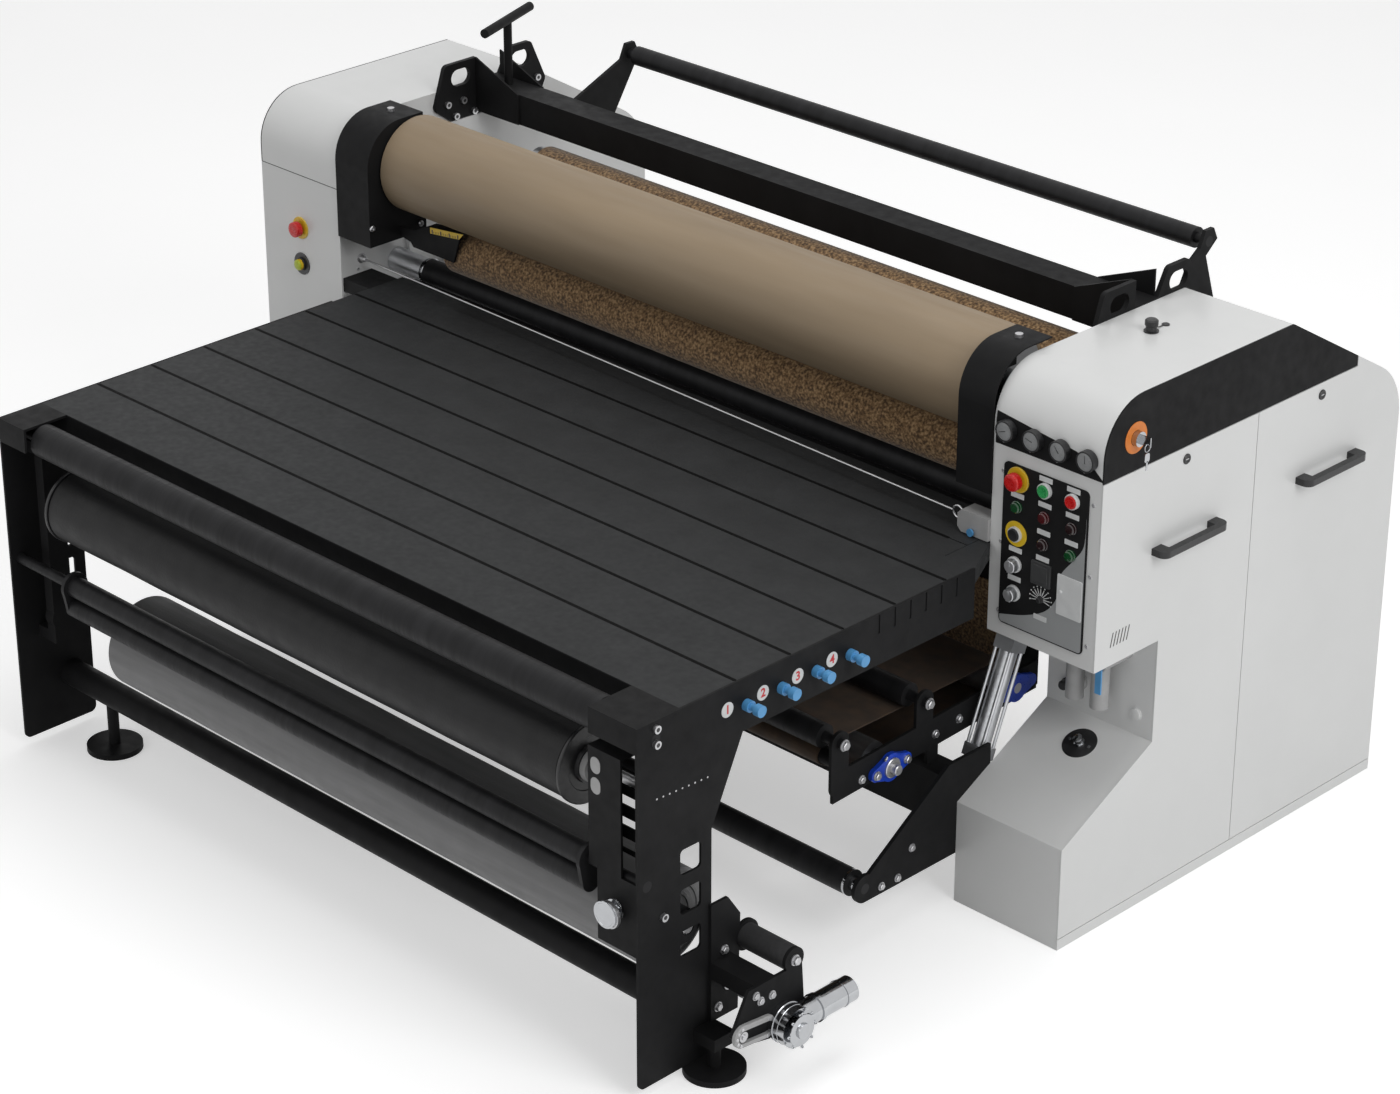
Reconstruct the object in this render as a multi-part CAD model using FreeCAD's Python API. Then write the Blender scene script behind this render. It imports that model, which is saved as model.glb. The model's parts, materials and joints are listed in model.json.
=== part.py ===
# Rotary heat-transfer calender: heated drum and felt between two cabinets, feed table in front.
# Machine frame: X across from the mid-plane between the cabinets, Y back from the cabinet front,
# Z up from the floor. Millimetres. The finished solids are shifted to the box's bottom centre.
import FreeCAD, Part
import math
import os

os.makedirs("parts", exist_ok=True)

# Shared clearances and stock
overrun = 5.0
run_clear = 0.5
fit_clear = 0.05
sheet = 3.0
plate = 10.0
seam_gap = 2.0

# Heights and depths that the rest follows
table_height = 871.0
drum_rise = 302.0
drum_z = table_height + drum_rise
seam_drop = 66.0
hood_seam = drum_z - seam_drop
hood_rise = 175.0
hood_top = hood_seam + hood_rise
hood_knee_rise = 25.0
hood_back_z = hood_seam + hood_knee_rise
recess_drop = 447.0
box_bottom = hood_seam - recess_drop
recess_height = 252.0
cab_slope_height = box_bottom - recess_height
slope_rise = 153.0
cab_low_height = cab_slope_height - slope_rise
cab_depth = 1158.0
flat_run = 436.0
hood_flat_end = cab_depth - flat_run
back_run = 183.0
hood_back_y = cab_depth - back_run
door_run = 544.0
door_seam_y = cab_depth - door_run

# Cabinets
gap_between = 2170.0
cab_width = 302.0
cab_slope_depth = 300.0
box_front = 80.0
hood_front_round = 125.0
cab_back_round = 170.0
door_sheet = 3.0
door_bottom = 27.0

# Door handles and front panels
handle_drop = 217.0
handle_height = hood_seam - handle_drop
front_handle_shift = 23.0
front_handle_y = (box_front + door_seam_y) / 2 + front_handle_shift
rear_handle_shift = 4.0
rear_handle_y = (door_seam_y + cab_depth) / 2 - rear_handle_shift
panel_drop = 28.0
panel_top = hood_seam - panel_drop
panel_height = 386.0
panel_bottom = panel_top - panel_height
button_drop = 33.0
button_row = panel_top - button_drop
selector_drop = 201.0
selector_row = button_row - selector_drop
selector_pitch = 69.0
key_rise = 77.0
key_z = hood_seam + key_rise
left_stop_drop = 144.0
left_stop_z = hood_seam - left_stop_drop
left_button_drop = 98.0
handle_length = 225.0
handle_reach = 38.0
handle_bar = 16.0
panel_width = 234.0
panel_sheet = 4.0
gauge_rise = 45.0
gauge_dia = 44.0
gauge_depth = 12.0
gauge_pitch = 74.0
button_pitch = 76.0
row_pitch = 64.0
button_dia = 29.0
button_reach = 12.0
button_travel = 4.0
lamp_dia = 24.0
lamp_reach = 8.0
stop_dia = 40.0
stop_reach = 24.0
stop_plate_dia = 58.0
stop_plate_thick = 3.0
selector_dia = 30.0
selector_reach = 20.0
stem_dia = 12.0
stem_depth = 20.0
key_y = 181.0
key_dia = 34.0
key_reach = 14.0
key_blade = 26.0
key_blade_thick = 3.0
left_stop_x_in = 155.0

# Drum and its covers
drum_y = 235.0
drum_radius = 123.5
drum_wall = 9.0
drum_left = -955.0
drum_right = 981.0
end_disc = 14.0
journal_radius = 30.0
journal_bore = 18.0
bearing_half = 48.0
bearing_depth = 45.0
heater_radius = 55.0
housing_left_in = 124.0
housing_right_in = 100.0
housing_front = 75.0
housing_back = 262.0
housing_drop = 188.0
housing_bottom = drum_z - housing_drop
housing_rise = 127.0
housing_top = drum_z + housing_rise
housing_round = 112.0

# Felt and felt rollers
felt_thick = 6.0
felt_left = -812.0
felt_right = 957.0
nip_y = 250.0
nip_radius = 60.0
nip_slack = 0.2
rear_y = 540.0
rear_drop = 62.0
rear_z = drum_z - rear_drop
rear_radius = 56.0
low_y = 620.0
low_drop = 173.0
low_z = drum_z - low_drop
low_radius = 45.0
roller_shaft = 12.5
roller_end = 25.0

# Press arms and pneumatic cylinders
arm_pivot_y = 520.0
pivot_drop = 313.0
arm_pivot_z = drum_z - pivot_drop
arm_thick = 12.0
arm_boss = 34.0
arm_pin = 14.0
cyl_foot_y = 101.0
cyl_foot_z = 292.0
cyl_eye_y = 245.0
eye_drop = 215.0
cyl_eye_z = arm_pivot_z - eye_drop
cyl_radius = 26.0
cyl_cap = 30.0
cyl_share = 0.7476
cyl_length = cyl_share * math.hypot(cyl_eye_y - cyl_foot_y, cyl_eye_z - cyl_foot_z)
rod_radius = 9.0
tie_rod_radius = 4.0
eye_radius = 20.0
eye_gap = 3.0
eye_half = 10.0
cyl_wall_gap = 3.0
corner_share = 0.8

# Feed roller at the back of the table
feed_y = 266.0
feed_drop = 1.0
feed_z = table_height - feed_drop
feed_radius = 34.0
feed_sleeve_radius = 31.0
feed_sleeve = 128.0

# Table
table_left = -983.0
table_right = 1147.0
table_front = -930.0
table_back = 190.0
table_wide_back = -40.0
table_narrow_right = 1060.0
table_sheet = 4.0
table_lip = 40.0
bearer_front = 85.0
bearer_back = 180.0
bearer_lap = 20.0
slat_seams = 6
seam_width = 4.0
seam_depth = 2.0
skirt_height = 120.0
leg_front = -1053.0
leg_back = -842.0
leg_top_back = -752.0
leg_bottom = 20.0
shoulder_share = 0.643
shoulder_z = table_height * shoulder_share
leg_sheet = 6.0
leg_flange = 134.0
leg_flange_drop = 60.0
leg_round = 16.0
window_y0 = -932.0
window_y1 = -872.0
window_shares = (0.6246, 0.5178, 0.403)
window_height = 60.0
window_round = 10.0
louvre_count = 6
louvre_y0 = -348.0
louvre_pitch = 49.0
louvre_width = 6.0
louvre_height = 44.0
louvre_drop = 24.0
louvre_depth = 2.0
knob_y0 = -744.0
knob_pitch = 103.0
knob_drop = 61.0
knob_z = table_height - knob_drop
knob_dia = 26.0
knob_reach = 46.0
knob_waist = 16.0
column_width = 30.0
column_depth = 55.0
column_front = -990.0
column_left_x = -940.0
column_right_x = 1108.0
cover_left = 998.0
cover_right = 1092.0
cover_front = -1046.0
cover_sheet = 5.0
cover_depth = 46.0
cover_foot_left = 1022.0
cover_shares = (0.3835, 0.5798, 0.8932)
ladder_left = 1040.0
ladder_front = -1000.0
ladder_shares = (0.494, 0.832)
slot_shares = ((0.5316, 0.6108), (0.621, 0.651), (0.682, 0.706), (0.737, 0.7646), (0.79, 0.8312))

# Front rollers and rolls under the table
guide_y = -1000.0
guide_drop = 42.0
guide_z = table_height - guide_drop
guide_radius = 40.0
guide_left = -877.0
guide_right = 1002.0
front_roll_y = -955.0
front_roll_share = 0.7623
front_roll_z = table_height * front_roll_share
front_roll_radius = 88.0
front_roll_left = -827.0
front_roll_right = 902.0
roll_core = 38.0
roll_disc = 92.0
roll_disc_thick = 8.0
rear_roll_y = -900.0
rear_roll_share = 0.3961
rear_roll_z = table_height * rear_roll_share
column_drop = 71.0
column_top = table_height - column_drop
column_foot = 65.0
column_bottom = rear_roll_z - column_foot
rear_roll_radius = 112.0
rear_roll_left = -673.0
rear_roll_right = 1085.0
roll_shaft = 16.0
dancer_y = -1026.0
dancer_share = 0.574
dancer_z = table_height * dancer_share
dancer_tube = 25.0
dancer_drop = 54.0
dancer_plate = 10.0
dancer_left = -770.0
dancer_right = 985.0
tie_y = -905.0
tie_share = 0.1722
tie_z = table_height * tie_share
tie_size = 66.0
tie_wall = 4.0
foot_radius = 68.0
foot_thick = 14.0
foot_stem = 14.0
foot_y = -865.0
left_foot_x = -821.0
right_foot_x = 1180.0
foot_arm = 60.0
foot_arm_z = 70.0

# Unwinding station outside the right leg
station_y = -745.0
station_z = 268.0
station_roller = 28.0
station_right = 1293.0
station_plate = 8.0
station_inner = ((-850.0, 383.0), (-800.0, 383.0), (-764.0, 330.0), (-770.0, 100.0), (-850.0, 100.0))
station_outer = ((-930.0, 161.0), (-880.0, 252.0), (-722.0, 252.0), (-714.0, 150.0), (-738.0, 148.0),
                 (-794.0, 104.0), (-906.0, 128.0))
station_block = ((-850.0, 205.0), (-790.0, 245.0))
gear_y = -782.0
gear_z = 140.0
gear_radius = 45.0
gear_thick = 48.0
motor_z = 150.0
motor_radius = 29.0
motor_end = -608.0

# Outfeed conveyor under the table
rail_left = -940.0
rail_right = 1004.0
rail_thick = 8.0
rail_height = 72.0
rail_front = -322.0
rail_back = 360.0
rail_front_z = 382.0
rail_back_z = 412.0
guard_sheet = 4.0
guard_low = 384.0
guard_step = 515.0
guard_high = 672.0
guard_left = -915.0
guard_right = 955.0
conv_front_y = -143.0
conv_front_z = 372.0
conv_back_y = 281.0
nose_y = -287.0
nose_z = 434.0
nose_radius = 20.0
conv_radius = 40.0
belt_thick = 4.0
belt_left = -880.0
belt_right = 945.0
belt_margin = 12.0
pinch_radius = 28.0
pinch_front_y = -300.0
pinch_front_rise = 106.0
pinch_back_y = -25.0
pinch_back_rise = 91.0
bearing_span = 98.0
bearing_boss = 34.0
bearing_ear = 16.0
bearing_thick = 22.0
cross_size = 70.0
cross_height = 124.0
cross_wall = 4.0
cross_y = 5.0
cross_z = 262.0
idler_y = -300.0
idler_z = 158.0
idler_radius = 31.0
bracket_thick = 10.0
bracket_boss = 34.0
bracket_foot = 110.0
bracket_top = 360.0

# Top beam, lug plates, side frames, rear guide roller
beam_y = 585.0
beam_drop = 36.0
beam_z = hood_top - beam_drop
beam_size = 80.0
beam_wall = 5.0
gusset_sheet = 5.0
gusset_run = 160.0
gusset_rise = 64.0
frame_thick = 12.0
frame_front = 300.0
frame_back = 760.0
frame_reach = 300.0
frame_bottom = arm_pivot_z - frame_reach
frame_top = beam_z - beam_size / 2 - plate
frame_round = 30.0
lug_rise = 103.0
lug_drop = 48.0
lug_front = 437.0
lug_back = 735.0
lug_foot_front = 400.0
lug_foot_back = 785.0
lug_foot = 54.0
lug_round = 16.0
lug_shoulder = 75.0
lug_hole_width = 65.0
lug_hole_height = 44.0
lug_hole_rise = 63.0
lug_front_hole_y = 490.0
lug_back_hole_y = 697.0
lug_bolts = ((-144.0, 0.0), (-90.0, 0.0), (-54.0, -37.0), (-117.0, -37.0), (168.0, 0.0))
guide_back_y = 818.0
guide_back_rise = 80.0
guide_back_z = hood_top + guide_back_rise
guide_back_radius = 24.6
guide_back_left = -787.0
guide_tip = 29.0
guide_heel = 64.0
guide_neck = 32.0
clamp_x = -996.0
clamp_stem = 11.0
clamp_rise = 171.0
clamp_bar = 250.0
clamp_radius = 12.0
clamp_turn = 20.0

# Safety pull wire, switch, air unit, drive
wire_radius = 2.5
wire_y = 92.0
wire_left_y = 147.0
wire_rise = 34.0
wire_z = table_height + wire_rise
wire_ring = 14.0
switch_length = 90.0
switch_width = 44.0
switch_height = 31.0
reset_dia = 18.0
reset_reach = 8.0
air_bowl_dia = 42.0
air_bowl_height = 110.0
air_head = 48.0
air_pitch = 70.0
lever_length = 70.0
lever_width = 16.0
lever_thick = 5.0
gear_width = 170.0
gear_depth = 240.0
gear_height = 250.0
drive_radius = 80.0
drive_length = 260.0
bolt_radius = 9.0
bolt_head = 8.0
bolt_inset = 52.0
leg_bolt_inset = 71.0
leg_bolt_rise = 66.0
leg_bolt_z = rear_roll_z + leg_bolt_rise
spool_radius = 30.0
spool_reach = 20.0
spool_rise = 80.0
spool_z = rear_roll_z + spool_rise

# Places that follow from the sizes above
right_in = gap_between / 2
right_out = right_in + cab_width
left_in = -right_in
left_out = -right_out
V = FreeCAD.Vector
parts = {}


def block(x0, x1, y0, y1, z0, z1):
    return Part.makeBox(x1 - x0, y1 - y0, z1 - z0, V(x0, y0, z0))


def rod_x(x0, x1, y, z, r):
    return Part.makeCylinder(r, x1 - x0, V(x0, y, z), V(1, 0, 0))


def rod_y(x, y0, y1, z, r):
    return Part.makeCylinder(r, y1 - y0, V(x, y0, z), V(0, 1, 0))


def rod_z(x, y, z0, z1, r):
    return Part.makeCylinder(r, z1 - z0, V(x, y, z0), V(0, 0, 1))


def fuse(*shapes):
    out = shapes[0]
    for other in shapes[1:]:
        out = out.fuse(other)
    return out.removeSplitter()


def group(*shapes):
    return Part.makeCompound(list(shapes))


def prism(points, x0, x1):
    wire = Part.makePolygon([V(x0, y, z) for y, z in points + points[:1]])
    return Part.Face(wire).extrude(V(x1 - x0, 0, 0))


def edges_along(shape, axis, test):
    """Straight edges that run along one axis and pass the test on their middle."""
    found = []
    for edge in shape.Edges:
        if edge.Curve.TypeId != "Part::GeomLine":
            continue
        run = edge.Vertexes[1].Point.sub(edge.Vertexes[0].Point)
        run.normalize()
        if abs(run.dot(axis)) > math.cos(math.radians(1)) and test(edge.CenterOfMass):
            found.append(edge)
    return found


def mirrored(shape):
    return shape.mirror(V(0, 0, 0), V(1, 0, 0))


def slot_x(x0, x1, y, z, width, height):
    """Rounded slot cutter, long side across Y."""
    half = (width - height) / 2
    core = block(x0, x1, y - half, y + half, z - height / 2, z + height / 2)
    return fuse(core, rod_x(x0, x1, y - half, z, height / 2), rod_x(x0, x1, y + half, z, height / 2))


# Cabinet outline, with its hood and rounded back
def cabinet_outline(inset):
    low = inset
    points = [
        (low, low), (low, cab_low_height - inset), (cab_slope_depth + low, cab_slope_height - inset),
        (cab_slope_depth + low, box_bottom + low), (box_front + low, box_bottom + low),
        (box_front + low, hood_top - inset), (hood_flat_end, hood_top - inset),
        (hood_back_y, hood_back_z - inset), (cab_depth - inset, back_corner_z - inset),
        (cab_depth - inset, low)]
    solid = prism(points, right_in, right_out)
    front = edges_along(solid, V(1, 0, 0), lambda c: c.z > hood_seam and c.y < hood_flat_end / 2)
    solid = solid.makeFillet(hood_front_round - inset, front)
    knee = edges_along(solid, V(1, 0, 0), lambda c: c.z > hood_seam and abs(c.y - hood_flat_end) < inset + seam_gap)
    back = edges_along(solid, V(1, 0, 0), lambda c: c.y > hood_back_y + sheet and c.z > box_bottom)
    solid = solid.makeFillet(cab_back_round - inset, back)
    return solid.makeFillet(sheet * 4, knee) if knee else solid


back_fall = (hood_top - hood_back_z) / (hood_back_y - hood_flat_end)
back_corner_z = hood_back_z - back_fall * (cab_depth - hood_back_y)
nip_reach = drum_radius + nip_radius + felt_thick + 2 * run_clear + nip_slack
nip_z = drum_z - math.sqrt(nip_reach ** 2 - (drum_y - nip_y) ** 2)


def cabinets():
    outer = cabinet_outline(0)
    door_line = right_out - door_sheet
    room = block(right_in + sheet, right_out, -overrun, cab_depth, -overrun, hood_top)
    hollow = cabinet_outline(sheet).common(room)
    shell = outer.cut(hollow)
    hood_zone = block(right_in, right_out, -overrun, hood_back_y, hood_seam, hood_top + overrun)
    rim = block(right_in, door_line - run_clear, -overrun, cab_depth, 0, hood_top)
    open_shell = shell.common(rim)
    side = outer.common(block(door_line, right_out, -overrun, cab_depth, 0, hood_top))
    plinth = side.common(block(door_line, right_out, -overrun, cab_depth, 0, door_bottom))
    plinth = fuse(plinth, outer.common(block(door_line - run_clear, door_line, 0, cab_depth, 0, sheet)))
    holes = fuse(rod_x(right_in - overrun, right_in + sheet + overrun, drum_y, drum_z, journal_radius + run_clear),
                 rod_x(right_in - overrun, right_in + sheet + overrun, feed_y, feed_z, roller_shaft + fit_clear))
    open_shell = open_shell.cut(holes)
    body = open_shell.cut(hood_zone)
    parts["right_cabinet"] = fuse(body, plinth)
    hood = open_shell.common(hood_zone)
    parts["hoods"] = group(hood, mirrored(hood))
    band = side.common(hood_zone)
    link = outer.cut(cabinet_outline(sheet)).common(hood_zone)
    link = link.common(block(door_line - run_clear, door_line, 0, cab_depth, hood_seam, hood_top))
    band = fuse(band, link)
    parts["side_panels"] = group(band, mirrored(band))
    closed = side.cut(hood_zone)
    rim_link = shell.common(block(door_line - run_clear, door_line, 0, cab_depth, 0, hood_top)).cut(hood_zone)
    parts["left_cabinet"] = mirrored(fuse(body, closed, rim_link))
    top = hood_seam - seam_gap
    doors = side.cut(hood_zone).cut(block(door_line, right_out, 0, hood_back_y, top, hood_seam))
    front = block(door_line, right_out, 0, door_seam_y - seam_gap / 2, door_bottom + seam_gap, hood_seam)
    rear = block(door_line, right_out, door_seam_y + seam_gap / 2, cab_depth, door_bottom + seam_gap, hood_top)
    parts["front_door"] = doors.common(front)
    rear_door = doors.common(rear)
    hood_back = block(door_line, right_out, 0, hood_back_y + seam_gap, top, hood_top)
    parts["rear_door"] = rear_door.cut(hood_back)


def handle(y):
    """Bridge handle that stands on the outer side of a door."""
    reach = right_out + handle_reach
    y0 = y - handle_length / 2
    y1 = y + handle_length / 2
    half = handle_bar / 2
    body = block(right_out, reach, y0, y1, handle_height - half, handle_height + half)
    ends = edges_along(body, V(0, 0, 1), lambda c: c.x > right_out + half)
    body = body.makeFillet(handle_reach / 2, ends)
    gap = block(right_out - overrun, reach - handle_bar, y0 + 2 * handle_bar, y1 - 2 * handle_bar,
                handle_height - handle_bar, handle_height + handle_bar)
    return body.cut(gap)


def stop_button(x, y, z):
    """Mushroom head on its stem, facing the front."""
    head = rod_y(x, y - stop_reach, y - button_travel - stop_plate_thick - run_clear, z, stop_dia / 2)
    front = [e for e in head.Edges if e.CenterOfMass.y < y - stop_reach + fit_clear and e.Length > stop_dia]
    head = head.makeFillet(button_travel, front[:1])
    return fuse(head, rod_y(x, y - stop_reach / 2, y + stem_depth, z, stem_dia / 2))


def push_button(x, y, z, dia, reach):
    head = rod_y(x, y - reach, y - button_travel - run_clear, z, dia / 2)
    return fuse(head, rod_y(x, y - reach / 2, y + stem_depth, z, stem_dia / 2))


def selector(x, y, z):
    body = rod_y(x, y - selector_reach / 2, y - run_clear, z, selector_dia / 2)
    grip = block(x - stem_dia / 2, x + stem_dia / 2, y - selector_reach, y - selector_reach / 2,
                 z - selector_dia / 2, z + selector_dia / 2)
    return fuse(body, grip, rod_y(x, y - selector_reach / 2, y + stem_depth, z, stem_dia / 2))


def controls():
    mid = (right_in + right_out) / 2
    face = box_front - panel_sheet
    panel = block(mid - panel_width / 2, mid + panel_width / 2, face, box_front, panel_bottom, panel_top)
    corners = edges_along(panel, V(0, 1, 0), lambda c: True)
    panel = panel.makeFillet(panel_sheet * 3, corners)
    columns = [mid - button_pitch, mid, mid + button_pitch]
    black_row = button_row - 2 * row_pitch
    stations = {
        "emergency_stop_right": stop_button(columns[0], face - stop_plate_thick, button_row),
        "start_button": push_button(columns[1], face, button_row, button_dia, button_reach),
        "stop_button": push_button(columns[2], face, button_row, button_dia, button_reach),
        "black_button": push_button(columns[0], face, black_row, button_dia, button_reach),
        "selector_upper": selector(columns[0], face, selector_row),
        "selector_lower": selector(columns[0], face, selector_row - selector_pitch)}
    stems = [(columns[0], button_row), (columns[1], button_row), (columns[2], button_row), (columns[0], black_row),
             (columns[0], selector_row), (columns[0], selector_row - selector_pitch)]
    wells = [rod_y(x, face - overrun, box_front + sheet + overrun, z, stem_dia / 2 + fit_clear) for x, z in stems]
    ring = rod_y(columns[0], face - stop_plate_thick, face, button_row, stop_plate_dia / 2)
    ring = ring.cut(wells[0])
    for well in wells:
        panel = panel.cut(well)
        parts["right_cabinet"] = parts["right_cabinet"].cut(well)
    parts["control_panel"] = panel
    parts.update(stations)
    lamps = [ring]
    for row in (1, 2):
        for x in columns[row - 1:]:
            lamps.append(rod_y(x, face - lamp_reach, face, button_row - row * row_pitch, lamp_dia / 2))
    first = mid - gauge_pitch * 3 / 2
    for k in range(4):
        x = first + k * gauge_pitch
        lamps.append(rod_y(x, face - gauge_depth, box_front, hood_seam + gauge_rise, gauge_dia / 2))
    left_mid = left_in - left_stop_x_in
    left_button_z = left_stop_z - left_button_drop
    for z in (left_stop_z, left_button_z):
        left_ring = rod_y(left_mid, box_front - stop_plate_thick, box_front, z, stop_plate_dia / 2)
        well = rod_y(left_mid, 0, box_front + sheet + overrun, z, stem_dia / 2 + fit_clear)
        parts["left_cabinet"] = parts["left_cabinet"].cut(well)
        lamps.append(left_ring.cut(well))
    parts["panel_instruments"] = group(*lamps)
    parts["left_button"] = push_button(left_mid, box_front - stop_plate_thick, left_button_z, button_dia, button_reach)
    parts["emergency_stop_left"] = stop_button(left_mid, box_front - stop_plate_thick, left_stop_z)
    key_well = rod_x(right_out - stem_depth - overrun, right_out + overrun, key_y, key_z, stem_dia / 2 + fit_clear)
    parts["side_panels"] = parts["side_panels"].cut(key_well)
    barrel = rod_x(right_out + run_clear, right_out + key_reach, key_y, key_z, key_dia / 2)
    blade = block(right_out + key_reach, right_out + key_reach + key_blade, key_y - key_blade_thick / 2,
                  key_y + key_blade_thick / 2, key_z - key_dia / 3, key_z + key_dia / 3)
    stem = rod_x(right_out - stem_depth, right_out + key_reach, key_y, key_z, stem_dia / 2)
    parts["key_switch"] = fuse(barrel, blade, stem)
    parts["front_door_handle"] = handle(front_handle_y)
    parts["rear_door_handle"] = handle(rear_handle_y)


cabinets()
controls()


def roller(x0, x1, y, z, radius, shaft_left, shaft_right, shaft):
    """Roller body with a reduced shaft at both ends."""
    return fuse(rod_x(shaft_left, shaft_right, y, z, shaft), rod_x(x0, x1, y, z, radius))


def drum():
    tube = rod_x(drum_left, drum_right, drum_y, drum_z, drum_radius)
    tube = tube.cut(rod_x(drum_left - overrun, drum_right + overrun, drum_y, drum_z, drum_radius - drum_wall))
    parts["drum_shell"] = tube
    inner = drum_radius - drum_wall
    journal_left = left_in - gear_width - sheet
    journal_right = right_in + cab_width / 2
    ends = []
    for disc, a, b in ((drum_left, journal_left, drum_left), (drum_right - end_disc, drum_right, journal_right)):
        end = fuse(rod_x(disc, disc + end_disc, drum_y, drum_z, inner), rod_x(a, b, drum_y, drum_z, journal_radius))
        ends.append(end)
    core = rod_x(drum_left + end_disc, drum_right - end_disc, drum_y, drum_z, heater_radius)
    core = core.cut(rod_x(drum_left, drum_right, drum_y, drum_z, journal_bore))
    parts["drum_ends"] = group(core, *ends)


def housing(x0, x1, drum_side):
    """Front cover of a drum end, open at the back and towards its cabinet."""
    outer = block(x0, x1, housing_front, housing_back, housing_bottom, housing_top)
    corner = edges_along(outer, V(1, 0, 0), lambda c: c.z > drum_z and c.y < drum_y - sheet)
    outer = outer.makeFillet(housing_round, corner)
    a = x0 - overrun if drum_side > 0 else x0 + sheet
    b = x1 - sheet if drum_side > 0 else x1 + overrun
    hollow = block(a, b, housing_front + sheet, housing_back + overrun, housing_bottom + sheet, housing_top - sheet)
    corner = edges_along(hollow, V(1, 0, 0), lambda c: c.z > drum_z and c.y < drum_y - sheet)
    hollow = hollow.makeFillet(housing_round - sheet, corner)
    passage = rod_x(x0 - overrun, x1 + overrun, drum_y, drum_z, journal_radius + sheet)
    back = block(x0 - overrun, x1 + overrun, drum_y, housing_back + overrun,
                 drum_z - journal_radius - sheet, drum_z + journal_radius + sheet)
    return outer.cut(hollow).cut(passage).cut(back)


def side_frame(x0):
    """Thick side plate next to the inner face of a cabinet, with the felt rollers' and pivot's holes."""
    x1 = x0 + frame_thick
    body = block(x0, x1, frame_front, frame_back, frame_bottom, frame_top)
    body = body.makeFillet(frame_round, edges_along(body, V(1, 0, 0), lambda c: True))
    for y, z, r in ((rear_y, rear_z, roller_shaft), (low_y, low_z, roller_shaft), (arm_pivot_y, arm_pivot_z, arm_pin)):
        body = body.cut(rod_x(x0 - overrun, x1 + overrun, y, z, r + fit_clear))
    return body


def lug_plate(x0):
    """End plate of the top beam, with a lifting slot in front of the beam and one behind it."""
    x1 = x0 + frame_thick
    half = beam_size / 2
    top = beam_z + lug_rise
    low = beam_z - lug_drop
    points = [(lug_foot_front, low + half), (lug_front, top), (beam_y - half, top), (beam_y - half, beam_z + half),
              (beam_y + half, beam_z + half), (lug_back - lug_shoulder, top), (lug_back, top),
              (lug_foot_back, low + half), (lug_foot_back - half / 2, low), (lug_foot_front + lug_foot, low)]
    body = prism(points, x0, x1)
    corners = edges_along(body, V(1, 0, 0), lambda c: c.y < beam_y - half - overrun or c.y > beam_y + half + overrun)
    body = body.makeFillet(lug_round, corners)
    for y in (lug_front_hole_y, lug_back_hole_y):
        body = body.cut(slot_x(x0 - overrun, x1 + overrun, y, beam_z + lug_hole_rise, lug_hole_width, lug_hole_height))
    return body


def gussets(end, run):
    """Two tapered plates that join the beam to its end plate at X = end."""
    half = beam_size / 2
    low = beam_z - half
    top = beam_z + half
    pieces = []
    for y in (beam_y - half - gusset_sheet, beam_y + half):
        points = [V(end, y, low), V(end, y, top + gusset_rise), V(end + run, y, top), V(end + run, y, low)]
        face = Part.Face(Part.makePolygon(points + points[:1]))
        pieces.append(face.extrude(V(0, gusset_sheet, 0)))
    return pieces


def bearing_block(x0, x1):
    half = bearing_half
    body = block(x0, x1, drum_y - half, drum_y + half, drum_z - half, drum_z + half)
    return body.cut(rod_x(x0 - overrun, x1 + overrun, drum_y, drum_z, journal_radius + fit_clear))


def frames():
    left = housing(left_in, left_in + housing_left_in, 1)
    right = housing(right_in - housing_right_in, right_in, -1)
    parts["drum_housings"] = group(left, right)
    depth = bearing_depth
    parts["side_frames"] = group(side_frame(left_in), side_frame(right_in - frame_thick),
                                 bearing_block(left_in - sheet - depth, left_in - sheet),
                                 bearing_block(right_in + sheet, right_in + sheet + depth))
    a = left_in + frame_thick
    b = right_in - frame_thick
    half = beam_size / 2
    beam = block(a, b, beam_y - half, beam_y + half, beam_z - half, beam_z + half)
    core = half - beam_wall
    beam = beam.cut(block(a + plate, b - plate, beam_y - core, beam_y + core, beam_z - core, beam_z + core))
    stem = rod_z(clamp_x, beam_y, beam_z + half, beam_z + half + clamp_rise, clamp_stem)
    turn = math.radians(clamp_turn)
    across = V(-math.sin(turn), math.cos(turn), 0)
    middle = V(clamp_x, beam_y, beam_z + half + clamp_rise)
    bar = Part.makeCylinder(clamp_radius, clamp_bar, middle - across * (clamp_bar / 2), across)
    parts["top_beam"] = fuse(beam, stem, bar, lug_plate(left_in), lug_plate(b), *gussets(a, gusset_run),
                             *gussets(b, -gusset_run), *guide_arms())


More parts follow.
